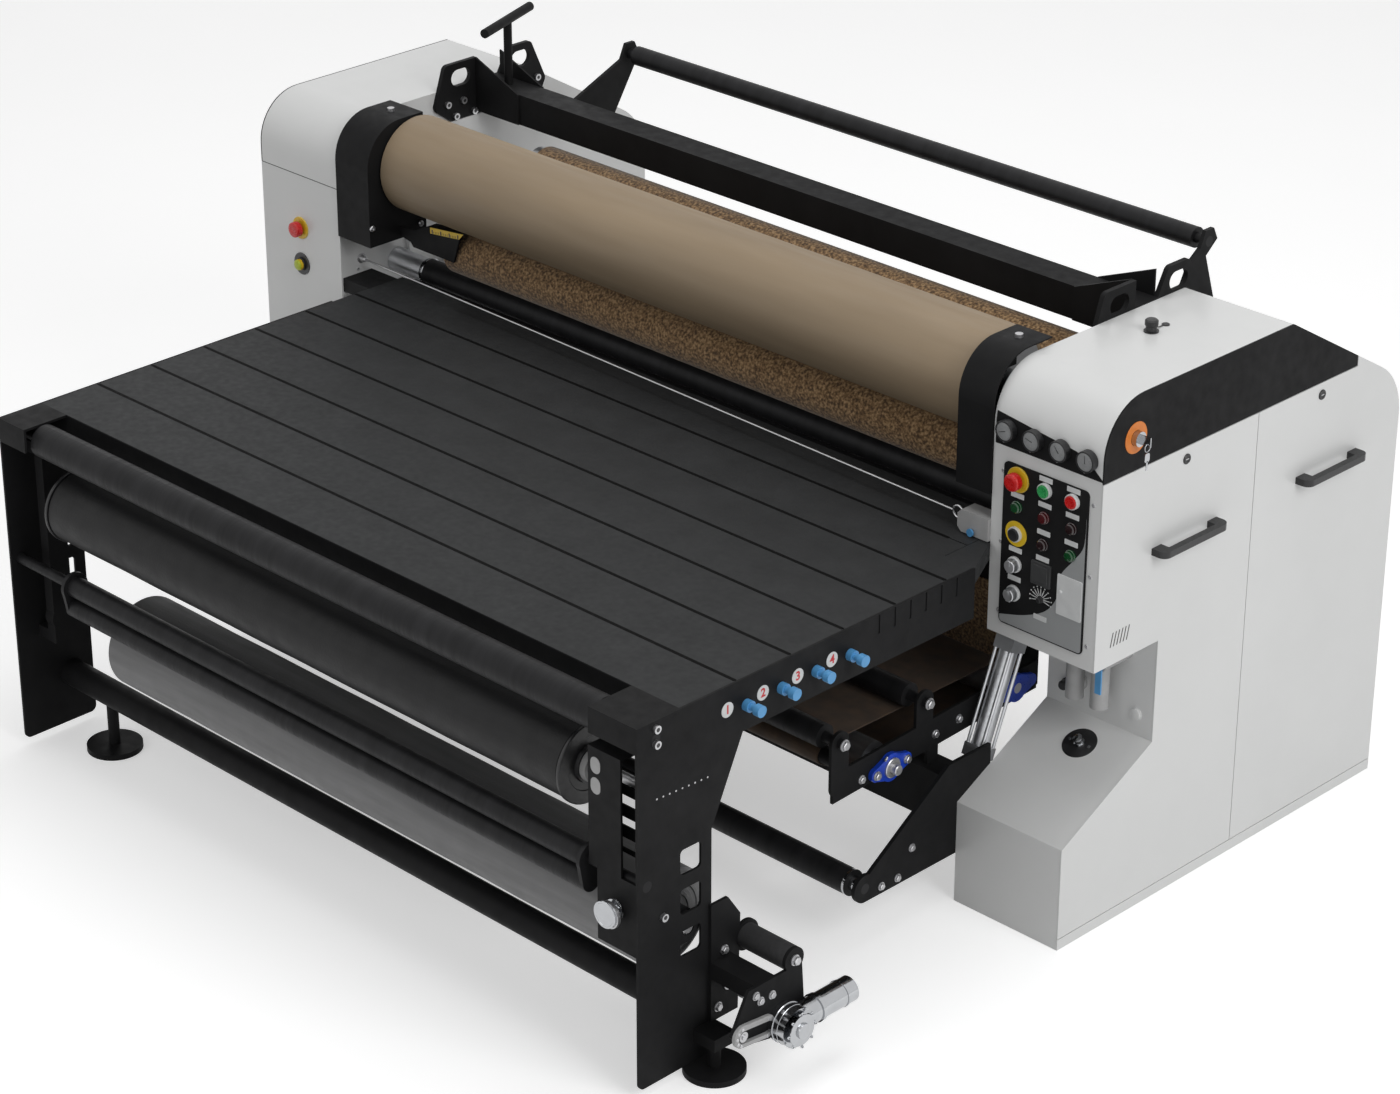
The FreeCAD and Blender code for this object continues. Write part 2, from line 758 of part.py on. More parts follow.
def guide_arms():
    """Plates on the beam and on the right end plate that carry the rear guide roller."""
    inner = right_in - frame_thick
    half = beam_size / 2
    y = guide_back_y
    z = guide_back_z
    neck = guide_neck
    left = [(beam_y + half, beam_z - half), (beam_y + half, beam_z + half), (y - neck, z - guide_tip / 3),
            (y - guide_tip / 2, z + guide_tip), (y + guide_tip / 2, z + guide_tip), (y + guide_tip, z),
            (y + guide_tip / 2, z - neck), (y - guide_heel, beam_z - half)]
    right = [(y - guide_heel * 2, beam_z - half), (y - guide_heel, z - neck), (y - neck, z - guide_tip / 3),
             (y - guide_tip / 2, z + guide_tip), (y + guide_tip / 2, z + guide_tip), (y + guide_tip, z),
             (y - guide_tip / 3, z - neck), (y + neck, beam_z - half)]
    arms = []
    for x, points in ((guide_back_left - plate, left), (inner - plate, right)):
        hole = rod_x(x - overrun, x + plate + overrun, y, z, roller_shaft + fit_clear)
        arms.append(prism(points, x, x + plate).cut(hole))
    parts["rear_guide_roller"] = roller(guide_back_left + roller_end, inner - plate - roller_end, y, z,
                                        guide_back_radius, guide_back_left - plate, inner, roller_shaft)
    return arms


def tangent_loop(circles):
    """Closed wire of arcs and tangents round signed circles in the YZ plane; minus turns clockwise."""
    count = len(circles)
    headings = []
    for k in range(count):
        y0, z0, s0 = circles[k]
        y1, z1, s1 = circles[(k + 1) % count]
        span = math.hypot(y1 - y0, z1 - z0)
        headings.append(math.atan2(z1 - z0, y1 - y0) + math.asin((s0 - s1) / span))

    def touch(circle, heading):
        y, z, s = circle
        return V(felt_left, y + s * math.sin(heading), z - s * math.cos(heading))

    edges = []
    for k in range(count):
        y, z, s = circles[k]
        come = headings[k - 1]
        leave = headings[k]
        turn = (leave - come) % (2 * math.pi)
        if s < 0:
            turn -= 2 * math.pi
        middle = touch(circles[k], come + turn / 2)
        edges.append(Part.Arc(touch(circles[k], come), middle, touch(circles[k], leave)).toShape())
        following = circles[(k + 1) % count]
        edges.append(Part.LineSegment(touch(circles[k], leave), touch(following, leave)).toShape())
    return Part.Wire(edges)


def felt():
    faces = []
    for depth in (run_clear, run_clear + felt_thick):
        rest = 2 * run_clear + felt_thick - depth
        wire = tangent_loop([(nip_y, nip_z, -nip_radius - depth), (drum_y, drum_z, drum_radius + rest),
                             (rear_y, rear_z, -rear_radius - depth), (low_y, low_z, -low_radius - depth)])
        faces.append(Part.Face(wire).extrude(V(felt_right - felt_left, 0, 0)))
    parts["felt_blanket"] = faces[1].cut(faces[0])
    ends = gap_between / 2
    for name, y, z, r in (("rear_felt_roller", rear_y, rear_z, rear_radius),
                          ("lower_felt_roller", low_y, low_z, low_radius)):
        parts[name] = roller(felt_left - roller_end, felt_right + roller_end, y, z, r, -ends, ends, roller_shaft)


def lever(x0, x1, y0, z0, y1, z1, r0, r1):
    """Straight lever plate with a round boss at both ends."""
    span = math.hypot(y1 - y0, z1 - z0)
    ny = -(z1 - z0) / span
    nz = (y1 - y0) / span
    points = [(y0 + ny * r0, z0 + nz * r0), (y1 + ny * r1, z1 + nz * r1),
              (y1 - ny * r1, z1 - nz * r1), (y0 - ny * r0, z0 - nz * r0)]
    return fuse(prism(points, x0, x1), rod_x(x0, x1, y0, z0, r0), rod_x(x0, x1, y1, z1, r1))


def press():
    ends = gap_between / 2
    arm_left = felt_left - arm_thick - run_clear
    arm_right = felt_right + run_clear
    pieces = [rod_x(-ends, ends, arm_pivot_y, arm_pivot_z, arm_pin)]
    for x in (arm_left, arm_right):
        arm = lever(x, x + arm_thick, arm_pivot_y, arm_pivot_z, nip_y, nip_z, arm_boss, arm_boss)
        pieces.append(arm.cut(rod_x(x - overrun, x + arm_thick + overrun, nip_y, nip_z, roller_shaft + fit_clear)))
    reach = ends - bracket_thick - cyl_radius - cyl_wall_gap
    crank = reach - eye_half - run_clear - arm_thick
    for x in (-crank - arm_thick, crank):
        piece = lever(x, x + arm_thick, arm_pivot_y, arm_pivot_z, cyl_eye_y, cyl_eye_z, arm_boss, eye_radius)
        pieces.append(piece)
        a, b = (-reach - eye_half, x) if x < 0 else (x + arm_thick, reach + eye_half)
        pieces.append(rod_x(a, b, cyl_eye_y, cyl_eye_z, rod_radius))
    parts["nip_arms"] = fuse(*pieces)
    parts["nip_roller"] = roller(felt_left + run_clear, felt_right - run_clear, nip_y, nip_z, nip_radius,
                                 arm_left, arm_right + arm_thick, roller_shaft)
    span = math.hypot(cyl_eye_y - cyl_foot_y, cyl_eye_z - cyl_foot_z)
    aim = V(0, (cyl_eye_y - cyl_foot_y) / span, (cyl_eye_z - cyl_foot_z) / span)
    side = V(0, -aim.z, aim.y)
    barrels = []
    rods = []
    for x, wall in ((-reach, -ends), (reach, ends)):
        foot = V(x, cyl_foot_y, cyl_foot_z)
        body = Part.makeCylinder(cyl_radius - tie_rod_radius, cyl_length, foot + aim * eye_radius, aim)
        for k in (0, 1):
            start = eye_radius + k * (cyl_length - cyl_cap)
            cap = Part.makeBox(2 * cyl_radius, 2 * cyl_radius, cyl_cap, V(-cyl_radius, -cyl_radius, 0))
            cap.Placement = FreeCAD.Placement(foot + aim * start, FreeCAD.Rotation(V(0, 0, 1), aim))
            body = body.fuse(cap)
        for i in (-1, 1):
            for j in (-1, 1):
                at = foot + aim * eye_radius + V(1, 0, 0) * (i * cyl_radius * corner_share)
                at = at + side * (j * cyl_radius * corner_share)
                body = body.fuse(Part.makeCylinder(tie_rod_radius, cyl_length, at, aim))
        ear = rod_x(x - eye_half, x + eye_half, cyl_foot_y, cyl_foot_z, eye_radius + fit_clear)
        pin = rod_x(min(x, wall), max(x, wall), cyl_foot_y, cyl_foot_z, rod_radius)
        bore = Part.makeCylinder(rod_radius + fit_clear, cyl_length, foot + aim * (eye_radius + cyl_cap), aim)
        barrels.append(fuse(body.cut(bore), ear, pin))
        inside = eye_radius + cyl_length - cyl_cap * 3
        stick = Part.makeCylinder(rod_radius, span - eye_radius / 2 - inside, foot + aim * inside, aim)
        ring = rod_x(x - eye_half, x + eye_half, cyl_eye_y, cyl_eye_z, eye_radius)
        hole = rod_x(x - 2 * eye_half, x + 2 * eye_half, cyl_eye_y, cyl_eye_z, rod_radius + eye_gap)
        rods.append(stick.fuse(ring).cut(hole))
    parts["cylinder_barrels"] = group(*barrels)
    parts["cylinder_rods"] = group(*rods)


def feed():
    ends = gap_between / 2
    body = roller(-ends + feed_sleeve, ends - feed_sleeve, feed_y, feed_z, feed_radius, -ends - sheet, ends + sheet,
                  roller_shaft)
    sleeves = [rod_x(-ends + run_clear, -ends + feed_sleeve, feed_y, feed_z, feed_sleeve_radius),
               rod_x(ends - feed_sleeve, ends - run_clear, feed_y, feed_z, feed_sleeve_radius)]
    parts["feed_roller"] = fuse(body, *sleeves)


drum()
frames()
felt()
press()
feed()


def leg_plate(x0, x1):
    """Side plate of the table: front leg, widening shoulder and skirt."""
    skirt = table_height - skirt_height
    points = [(leg_front, leg_bottom), (leg_front, table_height), (table_wide_back, table_height),
              (table_wide_back, skirt), (leg_top_back, skirt), (leg_back, shoulder_z), (leg_back, leg_bottom)]
    body = prism(points, x0, x1)
    corners = edges_along(body, V(1, 0, 0), lambda c: c.y < leg_back + overrun and c.z < skirt)
    body = body.makeFillet(leg_round, corners)
    for share in window_shares:
        top = table_height * share
        hole = block(x0 - overrun, x1 + overrun, window_y0, window_y1, top - window_height, top)
        hole = hole.makeFillet(window_round, edges_along(hole, V(1, 0, 0), lambda c: True))
        body = body.cut(hole)
    for k in range(louvre_count):
        y = louvre_y0 + k * louvre_pitch
        low = table_height - louvre_drop - louvre_height / 2
        for a, b in ((x0 - overrun, x0 + louvre_depth), (x1 - louvre_depth, x1 + overrun)):
            body = body.cut(block(a, b, y, y + louvre_width, low, low + louvre_height))
    for y, z in ((guide_y, guide_z), (dancer_y, dancer_z)):
        body = body.cut(rod_x(x0 - overrun, x1 + overrun, y, z, roller_shaft + fit_clear))
    return body


def flange(x0, x1):
    top = block(x0, x1, leg_front + leg_sheet, table_front, table_height - leg_sheet, table_height)
    face = block(x0, x1, leg_front, leg_front + leg_sheet, table_height - leg_flange_drop, table_height)
    return fuse(top, face)


def column(x0, x1, leg_in):
    """Upright roll support tied to the leg plate by two spacers."""
    body = block(x0, x1, column_front, column_front + column_depth, column_bottom, column_top)
    a, b = sorted((leg_in, x1 if leg_in > x1 else x0))
    for z in (column_bottom, column_top - column_width):
        body = body.fuse(block(a, b, column_front, column_front + column_depth, z, z + column_width))
    reach = 2 * roll_shaft
    body = body.fuse(lever(x0, x1, column_front + column_depth / 2, rear_roll_z, rear_roll_y, rear_roll_z, reach, reach))
    for y, z in ((front_roll_y, front_roll_z), (rear_roll_y, rear_roll_z)):
        body = body.cut(rod_x(x0 - overrun, x1 + overrun, y, z, roll_shaft + fit_clear))
    return body


def column_cover():
    """Folded black cover in front of the right column, with a slotted ladder plate behind it."""
    leg_in = table_right - leg_sheet
    foot, fold, top = [table_height * share for share in cover_shares]
    back = cover_front + cover_sheet
    face = block(cover_left, cover_right, cover_front, back, fold, top)
    low = block(cover_foot_left, leg_in, cover_front, back, foot, fold)
    side = block(cover_left, cover_left + cover_sheet, cover_front, cover_front + cover_depth, fold + cover_depth / 2, top)
    lid = block(cover_left, cover_right, cover_front, cover_front + cover_depth, top - cover_sheet, top)
    bottom, crown = [table_height * share for share in ladder_shares]
    ladder = block(ladder_left, leg_in, ladder_front, ladder_front + cover_sheet, bottom, crown)
    for a, b in slot_shares:
        ladder = ladder.cut(block(ladder_left + cover_sheet, leg_in - cover_sheet, ladder_front - overrun,
                                  ladder_front + cover_sheet + overrun, table_height * a, table_height * b))
    return group(fuse(face, low, side, lid), ladder)


def station_bracket():
    """Inner and outer plates, tied by a block, that carry the unwinding roller."""
    x0 = table_right
    x1 = station_right - station_plate
    inner = fuse(prism(station_inner, x0, x0 + station_plate),
                 rod_x(x0, x0 + station_plate, station_y, station_z, station_roller + station_plate))
    outer = fuse(prism(station_outer, x1, station_right), rod_x(x1, station_right, station_y, station_z, station_roller))
    (y0, z0), (y1, z1) = station_block
    body = fuse(inner, outer, block(x0, station_right, y0, y1, z0, z1))
    return body.cut(rod_x(x0 - overrun, station_right + overrun, station_y, station_z, roller_shaft + fit_clear))


def table():
    plate_left = table_left + leg_sheet
    plate_right = table_right - leg_sheet
    right = fuse(leg_plate(plate_right, table_right), flange(plate_right - leg_flange, plate_right),
                 column(column_right_x, column_right_x + column_width, plate_right))
    left_flange = guide_left - run_clear * 10 - plate_left
    left = fuse(leg_plate(table_left, plate_left), flange(plate_left, plate_left + left_flange),
                column(column_left_x, column_left_x + column_width, plate_left))
    for k in range(4):
        y = knob_y0 + k * knob_pitch
        right = right.cut(rod_x(plate_right - overrun, table_right + overrun, y, knob_z, knob_waist / 2 + fit_clear))
        head = rod_x(table_right + run_clear, table_right + knob_reach, y, knob_z, knob_dia / 2)
        waist = knob_reach / 3
        groove = rod_x(table_right + waist, table_right + 2 * waist, y, knob_z, knob_dia)
        groove = groove.cut(rod_x(table_right, table_right + knob_reach, y, knob_z, knob_waist / 2))
        stem = rod_x(plate_right - leg_sheet, table_right + waist, y, knob_z, knob_waist / 2)
        parts["knob_" + str(k + 1)] = fuse(head.cut(groove), stem)
    low = table_height - table_sheet
    bearers = [block(a, b, bearer_front, bearer_back, table_height - table_lip, low)
               for a, b in ((table_narrow_right - bearer_lap, right_in), (left_in, plate_left + bearer_lap))]
    top = fuse(block(plate_left, plate_right, table_front, table_wide_back, low, table_height),
               block(plate_left, table_narrow_right, table_wide_back, table_back, low, table_height))
    lip = block(plate_left, plate_right, table_front, table_front + table_sheet, table_height - table_lip, table_height)
    back_lip = block(plate_left, table_narrow_right, table_back - table_sheet, table_back,
                     table_height - table_lip, table_height)
    top = fuse(top, lip, back_lip)
    pitch = (table_back - table_front) / (slat_seams + 1)
    for k in range(slat_seams):
        y = table_front + (k + 1) * pitch
        top = top.cut(block(plate_left - overrun, plate_right + overrun, y, y + seam_width,
                            table_height - seam_depth, table_height + overrun))
    parts["table_top"] = top
    half = tie_size / 2
    bar = rod_x(plate_left, plate_right, tie_y, tie_z, half)
    bar = bar.cut(rod_x(plate_left + plate, plate_right - plate, tie_y, tie_z, half - tie_wall))
    arm = block(table_right, right_foot_x + foot_arm / 2, foot_y - foot_arm / 2, foot_y + foot_arm / 2,
                foot_arm_z, foot_arm_z + foot_arm / 2)
    feet = []
    for x, y, top_z in ((left_foot_x, tie_y, tie_z - half + tie_wall / 2), (right_foot_x, foot_y, foot_arm_z)):
        feet.append(fuse(rod_z(x, y, 0, foot_thick, foot_radius), rod_z(x, y, 0, top_z, foot_stem)))
    bar = fuse(bar, feet[0])
    parts["table_frames"] = group(right, left, *bearers, bar, arm, feet[1], column_cover(), station_bracket())


def front_rolls():
    plate_left = table_left
    plate_right = table_right
    parts["front_guide_roller"] = roller(guide_left, guide_right, guide_y, guide_z, guide_radius,
                                         plate_left, plate_right, roller_shaft)
    shaft_left = column_left_x
    shaft_right = column_right_x + column_width
    body = roller(front_roll_left, front_roll_right, front_roll_y, front_roll_z, front_roll_radius,
                  shaft_left, shaft_right, roll_shaft)
    discs = [rod_x(x, x + roll_disc_thick, front_roll_y, front_roll_z, roll_disc)
             for x in (front_roll_left - roll_disc_thick, front_roll_right)]
    parts["front_supply_roll"] = fuse(body, *discs)
    parts["rear_supply_roll"] = fuse(
        roller(rear_roll_left, rear_roll_right, rear_roll_y, rear_roll_z, rear_roll_radius,
               shaft_left, shaft_right, roll_shaft),
        rod_x(shaft_left + column_width + run_clear, shaft_right - column_width - run_clear,
              rear_roll_y, rear_roll_z, roll_core))
    pieces = []
    for x in (dancer_left, dancer_right - dancer_plate):
        pieces.append(lever(x, x + dancer_plate, dancer_y, dancer_z, dancer_y, dancer_z - dancer_drop,
                            dancer_tube + dancer_plate, dancer_tube))
    for z in (dancer_z, dancer_z - dancer_drop):
        pieces.append(rod_x(dancer_left, dancer_right, dancer_y, z, dancer_tube))
    pieces.append(rod_x(plate_left, plate_right, dancer_y, dancer_z, roller_shaft))
    parts["dancer"] = fuse(*pieces)


table()
front_rolls()


def flange_bearing(x0, x1, y, z, tilt, shaft):
    """Oval two-bolt bearing housing with its long axis tilted in the YZ plane."""
    dy = math.cos(tilt) * bearing_span / 2
    dz = math.sin(tilt) * bearing_span / 2
    body = lever(x0, x1, y - dy, z - dz, y, z, bearing_ear, bearing_boss)
    body = fuse(body, lever(x0, x1, y + dy, z + dz, y, z, bearing_ear, bearing_boss))
    return body.cut(rod_x(x0 - overrun, x1 + overrun, y, z, shaft + fit_clear))


def rail_line(y):
    """Height of the conveyor rail's middle at a depth."""
    return rail_front_z + (rail_back_z - rail_front_z) * (y - rail_front) / (rail_back - rail_front)


def conveyor():
    half = rail_height / 2
    slope = math.atan2(rail_back_z - rail_front_z, rail_back - rail_front)
    conv_back_z = rail_line(conv_back_y)
    pinches = [(y, rail_line(y) + rise) for y, rise in ((pinch_front_y, pinch_front_rise), (pinch_back_y, pinch_back_rise))]
    cross_top = cross_z + cross_height / 2
    rails = []
    bearings = []
    for x, thick in ((rail_left, bearing_thick), (rail_right - rail_thick, bearing_thick / 2)):
        points = [(rail_front, rail_line(rail_front) - half), (rail_front, rail_line(rail_front) + half),
                  (rail_back, rail_line(rail_back) + half), (rail_back, rail_line(rail_back) - half)]
        rail = prism(points, x, x + rail_thick)
        saddle = block(x, x + rail_thick, cross_y - half / 2, cross_y + half / 2, cross_top, rail_line(cross_y))
        rail = fuse(rail, saddle)
        for y, z in pinches:
            rail = fuse(rail, lever(x, x + rail_thick, y, rail_line(y), y, z, pinch_radius, pinch_radius))
        holes = [(conv_front_y, conv_front_z), (conv_back_y, conv_back_z)]
        for y, z in holes + pinches:
            rail = rail.cut(rod_x(x - overrun, x + rail_thick + overrun, y, z, roller_shaft + fit_clear))
        rails.append(rail)
        for y, z in holes:
            bearings.append(flange_bearing(x + rail_thick, x + rail_thick + thick, y, z, slope, roller_shaft))
    parts["flange_bearings"] = group(*bearings)
    edge = cross_size / 2
    core = edge - cross_wall
    ends = gap_between / 2 - bracket_thick
    beam = block(-ends, ends, cross_y - edge, cross_y + edge, cross_z - cross_height / 2, cross_top)
    beam = beam.cut(block(-ends + plate, ends - plate, cross_y - core, cross_y + core,
                          cross_z - cross_height / 2 + cross_wall, cross_top - cross_wall))
    nose = rod_x(rail_left + rail_thick, rail_right - rail_thick, nose_y, nose_z, nose_radius)
    brackets = []
    for x in (-ends - bracket_thick, ends):
        points = [(idler_y, idler_z - bracket_boss), (bracket_foot, idler_z - bracket_boss),
                  (bracket_foot, bracket_top), (cross_y - edge, bracket_top), (idler_y - bracket_boss, idler_z)]
        body = fuse(prism(points, x, x + bracket_thick), rod_x(x, x + bracket_thick, idler_y, idler_z, bracket_boss))
        for y, z, r in ((idler_y, idler_z, roller_shaft), (cyl_foot_y, cyl_foot_z, rod_radius)):
            body = body.cut(rod_x(x - overrun, x + bracket_thick + overrun, y, z, r + fit_clear))
        brackets.append(body)
    guard = fuse(block(rail_left, rail_right, rail_back, rail_back + guard_sheet, guard_low, guard_step),
                 block(guard_left, guard_right, rail_back, rail_back + guard_sheet, guard_low, guard_high))
    parts["conveyor_frame"] = group(beam, *rails, nose, *brackets, guard)
    roll_ends = (rail_left, rail_right + bearing_thick / 2)
    for name, y, z, r in (("conveyor_front_roller", conv_front_y, conv_front_z, conv_radius),
                          ("conveyor_rear_roller", conv_back_y, conv_back_z, conv_radius),
                          ("pinch_roller_front", *pinches[0], pinch_radius),
                          ("pinch_roller_rear", *pinches[1], pinch_radius)):
        parts[name] = roller(belt_left - belt_margin, belt_right + belt_margin, y, z, r, *roll_ends, roller_shaft)
    faces = []
    for depth in (run_clear, run_clear + belt_thick):
        wire = tangent_loop([(nose_y, nose_z, -nose_radius - depth), (conv_back_y, conv_back_z, -conv_radius - depth),
                             (conv_front_y, conv_front_z, -conv_radius - depth)])
        body = Part.Face(wire).extrude(V(belt_right - belt_left, 0, 0))
        faces.append(body.translated(V(belt_left - felt_left, 0, 0)))
    parts["conveyor_belt"] = faces[1].cut(faces[0])
    parts["idler_roller"] = roller(-ends + roller_end, ends - roller_end, idler_y, idler_z, idler_radius,
                                   -ends - bracket_thick, ends + bracket_thick, roller_shaft)


def station():
    """Small driven roller and gear motor on the bracket outside the right leg."""
    x0 = table_right
    gear = rod_x(station_right, station_right + gear_thick, gear_y, gear_z, gear_radius)
    motor = rod_y(station_right + motor_radius, gear_y, motor_end, motor_z, motor_radius)
    parts["unwind_gearmotor"] = fuse(gear, motor)
    parts["unwind_roller"] = roller(x0 + station_plate + run_clear, station_right - station_plate - run_clear,
                                    station_y, station_z, station_roller, x0, station_right, roller_shaft)


def safety():
    x0 = left_in
    x1 = right_in - switch_length
    y = wire_y
    start = V(x0, wire_left_y, wire_z)
    run = V(x1 - 2 * wire_ring, y, wire_z) - start
    wire = Part.makeCylinder(wire_radius, run.Length, start, run)
    ring = Part.makeTorus(wire_ring, wire_radius, V(x1 - wire_ring, y, wire_z), V(0, 1, 0))
    parts["pull_wire"] = fuse(wire, ring)
    half = switch_width / 2
    body = block(x1 + wire_radius, right_in, y - half, y + half, wire_z - switch_height, wire_z + half)
    body = body.makeChamfer(half / 2, edges_along(body, V(0, 1, 0), lambda c: c.x < right_in - half))
    well = rod_y((x1 + right_in) / 2, y - half - overrun, y, wire_z - half, reset_dia / 4 + fit_clear)
    parts["safety_switch"] = body.cut(well)
    head = rod_y((x1 + right_in) / 2, y - half - reset_reach, y - half - button_travel, wire_z - half, reset_dia / 2)
    stem = rod_y((x1 + right_in) / 2, y - half - reset_reach, y - button_travel - run_clear, wire_z - half, reset_dia / 4)
    parts["reset_button"] = fuse(head, stem)


def air():
    """Filter and regulator on the recess wall, with a ball valve and its lever."""
    wall = cab_slope_depth
    mid = (right_in + right_out) / 2
    z = box_bottom - air_bowl_height / 2
    pieces = []
    for k in (-1, 1):
        x = mid + k * air_pitch / 2
        head = block(x - air_head / 2, x + air_head / 2, wall - air_head * 2, wall, z - air_head / 2, z + air_head / 2)
        pieces.append(head)
        pieces.append(rod_z(x, wall - air_head, z - air_head / 2 - air_bowl_height, z - air_head / 2, air_bowl_dia / 2))
    valve = rod_x(mid - air_pitch, mid + air_pitch, wall - air_head, z, air_head / 4)
    body = fuse(*pieces, valve)
    pivot_x = mid + air_pitch
    body = fuse(body, rod_y(pivot_x, wall - air_head * 2, wall, z, air_head / 3))
    parts["air_unit"] = body
    front = wall - air_head * 2
    arm = block(pivot_x - lever_width / 2, pivot_x + lever_width / 2, front - lever_thick, front - run_clear,
                z - lever_length, z + lever_width / 2)
    parts["valve_lever"] = arm


def drive():
    """Hollow-shaft gear motor on the drum's left journal."""
    x1 = left_in - sheet - bearing_depth - run_clear
    x0 = left_in - gear_width
    half = gear_depth / 2
    gear = block(x0, x1, drum_y - half, drum_y + half, drum_z - gear_height, drum_z + bearing_half)
    gear = gear.cut(rod_x(x0 - overrun, x1 + overrun, drum_y, drum_z, journal_radius + fit_clear))
    motor = rod_y((x0 + x1) / 2, drum_y + half, drum_y + half + drive_length, drum_z - gear_height / 2, drive_radius)
    motor = motor.common(block(left_out + sheet * 2, x1, 0, cab_depth, 0, hood_top))
    parts["drive_gearmotor"] = fuse(gear, motor)


def fasteners():
    heads = []
    for y, z in ((leg_front + bolt_inset, table_height - bolt_inset / 3), (leg_front + bolt_inset, table_height - bolt_inset),
                 (leg_front + leg_bolt_inset, leg_bolt_z)):
        heads.append(rod_x(table_right, table_right + bolt_head, y, z, bolt_radius))
    for x in (left_in + housing_left_in / 2, right_in - housing_right_in / 2):
        heads.append(rod_z(x, housing_back - bolt_inset, housing_top, housing_top + bolt_head, bolt_radius))
    for dy, dz in lug_bolts:
        right_face = right_in - frame_thick - (plate if dy > 0 else 0)
        for x in (left_in + frame_thick, right_face - bolt_head):
            heads.append(rod_x(x, x + bolt_head, beam_y + dy, beam_z + dz, bolt_radius))
    spool_x = table_right - leg_flange / 2
    spool = fuse(rod_y(spool_x, leg_front - spool_reach, leg_front - spool_reach + bolt_head, spool_z, spool_radius),
                 rod_y(spool_x, leg_front - spool_reach, cover_front, spool_z, bolt_radius))
    heads.append(spool)
    parts["fasteners"] = group(*heads)


conveyor()
station()
safety()
air()
drive()
fasteners()

# Shift to the bottom centre of the whole machine, then write each node
whole = Part.makeCompound(list(parts.values())).BoundBox
shift = V(-(whole.XMin + whole.XMax) / 2, -(whole.YMin + whole.YMax) / 2, -whole.ZMin)
print("shift", shift, "size", whole.XLength, whole.YLength, whole.ZLength)
for name, shape in parts.items():
    print(name, shape.isValid(), len(shape.Solids), round(shape.Volume))
    shape.translated(shift).exportStep("parts/" + name + ".step")
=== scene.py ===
# Looks of the rotary heat-transfer calender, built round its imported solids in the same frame.
# Places below are millimetres in the machine's own frame; row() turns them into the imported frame's metres.
import bmesh
import bpy
import json
import math
from mathutils import Matrix, Vector


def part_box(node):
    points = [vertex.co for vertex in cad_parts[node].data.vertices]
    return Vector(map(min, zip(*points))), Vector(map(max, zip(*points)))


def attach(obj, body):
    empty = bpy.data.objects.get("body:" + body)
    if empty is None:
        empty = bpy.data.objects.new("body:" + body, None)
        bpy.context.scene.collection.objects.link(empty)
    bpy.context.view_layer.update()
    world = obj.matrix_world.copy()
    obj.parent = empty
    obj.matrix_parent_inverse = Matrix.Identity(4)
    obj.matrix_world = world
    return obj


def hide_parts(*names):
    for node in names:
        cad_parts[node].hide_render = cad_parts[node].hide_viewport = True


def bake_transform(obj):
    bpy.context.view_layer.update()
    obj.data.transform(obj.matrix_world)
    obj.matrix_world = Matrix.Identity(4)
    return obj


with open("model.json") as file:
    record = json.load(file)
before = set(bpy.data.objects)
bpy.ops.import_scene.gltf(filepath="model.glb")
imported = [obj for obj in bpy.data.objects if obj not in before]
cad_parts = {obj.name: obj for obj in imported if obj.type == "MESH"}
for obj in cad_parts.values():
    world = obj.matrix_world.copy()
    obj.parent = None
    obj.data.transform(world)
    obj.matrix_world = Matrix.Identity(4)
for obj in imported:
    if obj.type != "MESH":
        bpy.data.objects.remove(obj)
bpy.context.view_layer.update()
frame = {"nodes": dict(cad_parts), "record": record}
milli = 0.001
machine_shift = Vector((-20.0, -42.5, 0.0))
to_front = (0, -1, 0)
to_back = (0, 1, 0)
to_right = (1, 0, 0)
upward = (0, 0, 1)

# Faces that pieces stand on, in machine millimetres
cabinet_front = 80.0
cabinet_inside = 1085.0
table_front = -930.0
table_back = 190.0
table_side = 1147.0
station_face = 1293.0

# Middle range of a noise, where nearly all of its values lie
noise_low = 0.3
noise_high = 0.7


def row(x, y, z):
    """Machine millimetres to packed metres."""
    return (Vector((x, y, z)) + machine_shift) * milli


def span(node):
    """Lowest and highest corner of a solid, in machine millimetres."""
    low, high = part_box(node)
    return low / milli - machine_shift, high / milli - machine_shift


def axis_of(node):
    """Depth and height of a roller's axis."""
    low, high = span(node)
    return (low.y + high.y) / 2, (low.z + high.z) / 2


# Materials: every one has colour variation, roughness variation and a fine bump
def link(tree, source, target):
    """Joins one socket to another."""
    tree.links.new(source, target)


def set_inputs(node, values):
    """Sets inputs of a node by their names."""
    for name, value in values.items():
        node.inputs[name].default_value = value


def new_node(tree, kind, values=None):
    """Shader node, with some of its inputs set where asked."""
    node = tree.nodes.new("ShaderNode" + kind)
    set_inputs(node, values or {})
    return node


def noise(tree, scale, detail=3.0, stretch=(1, 1, 1)):
    """Noise in the piece's own metres, stretched along an axis where asked."""
    place = new_node(tree, "TexCoord")
    mapping = new_node(tree, "Mapping", {"Scale": stretch})
    texture = new_node(tree, "TexNoise", {"Scale": scale, "Detail": detail})
    link(tree, place.outputs["Object"], mapping.inputs["Vector"])
    link(tree, mapping.outputs["Vector"], texture.inputs["Vector"])
    return texture.outputs["Fac"]


def ramp(tree, factor, stops):
    """Colour ramp from (position, colour) stops."""
    node = new_node(tree, "ValToRGB")
    while len(node.color_ramp.elements) < len(stops):
        node.color_ramp.elements.new(0.5)
    for element, (position, colour) in zip(node.color_ramp.elements, stops):
        element.position = position
        element.color = (*colour, 1.0)
    link(tree, factor, node.inputs["Fac"])
    return node.outputs["Color"]


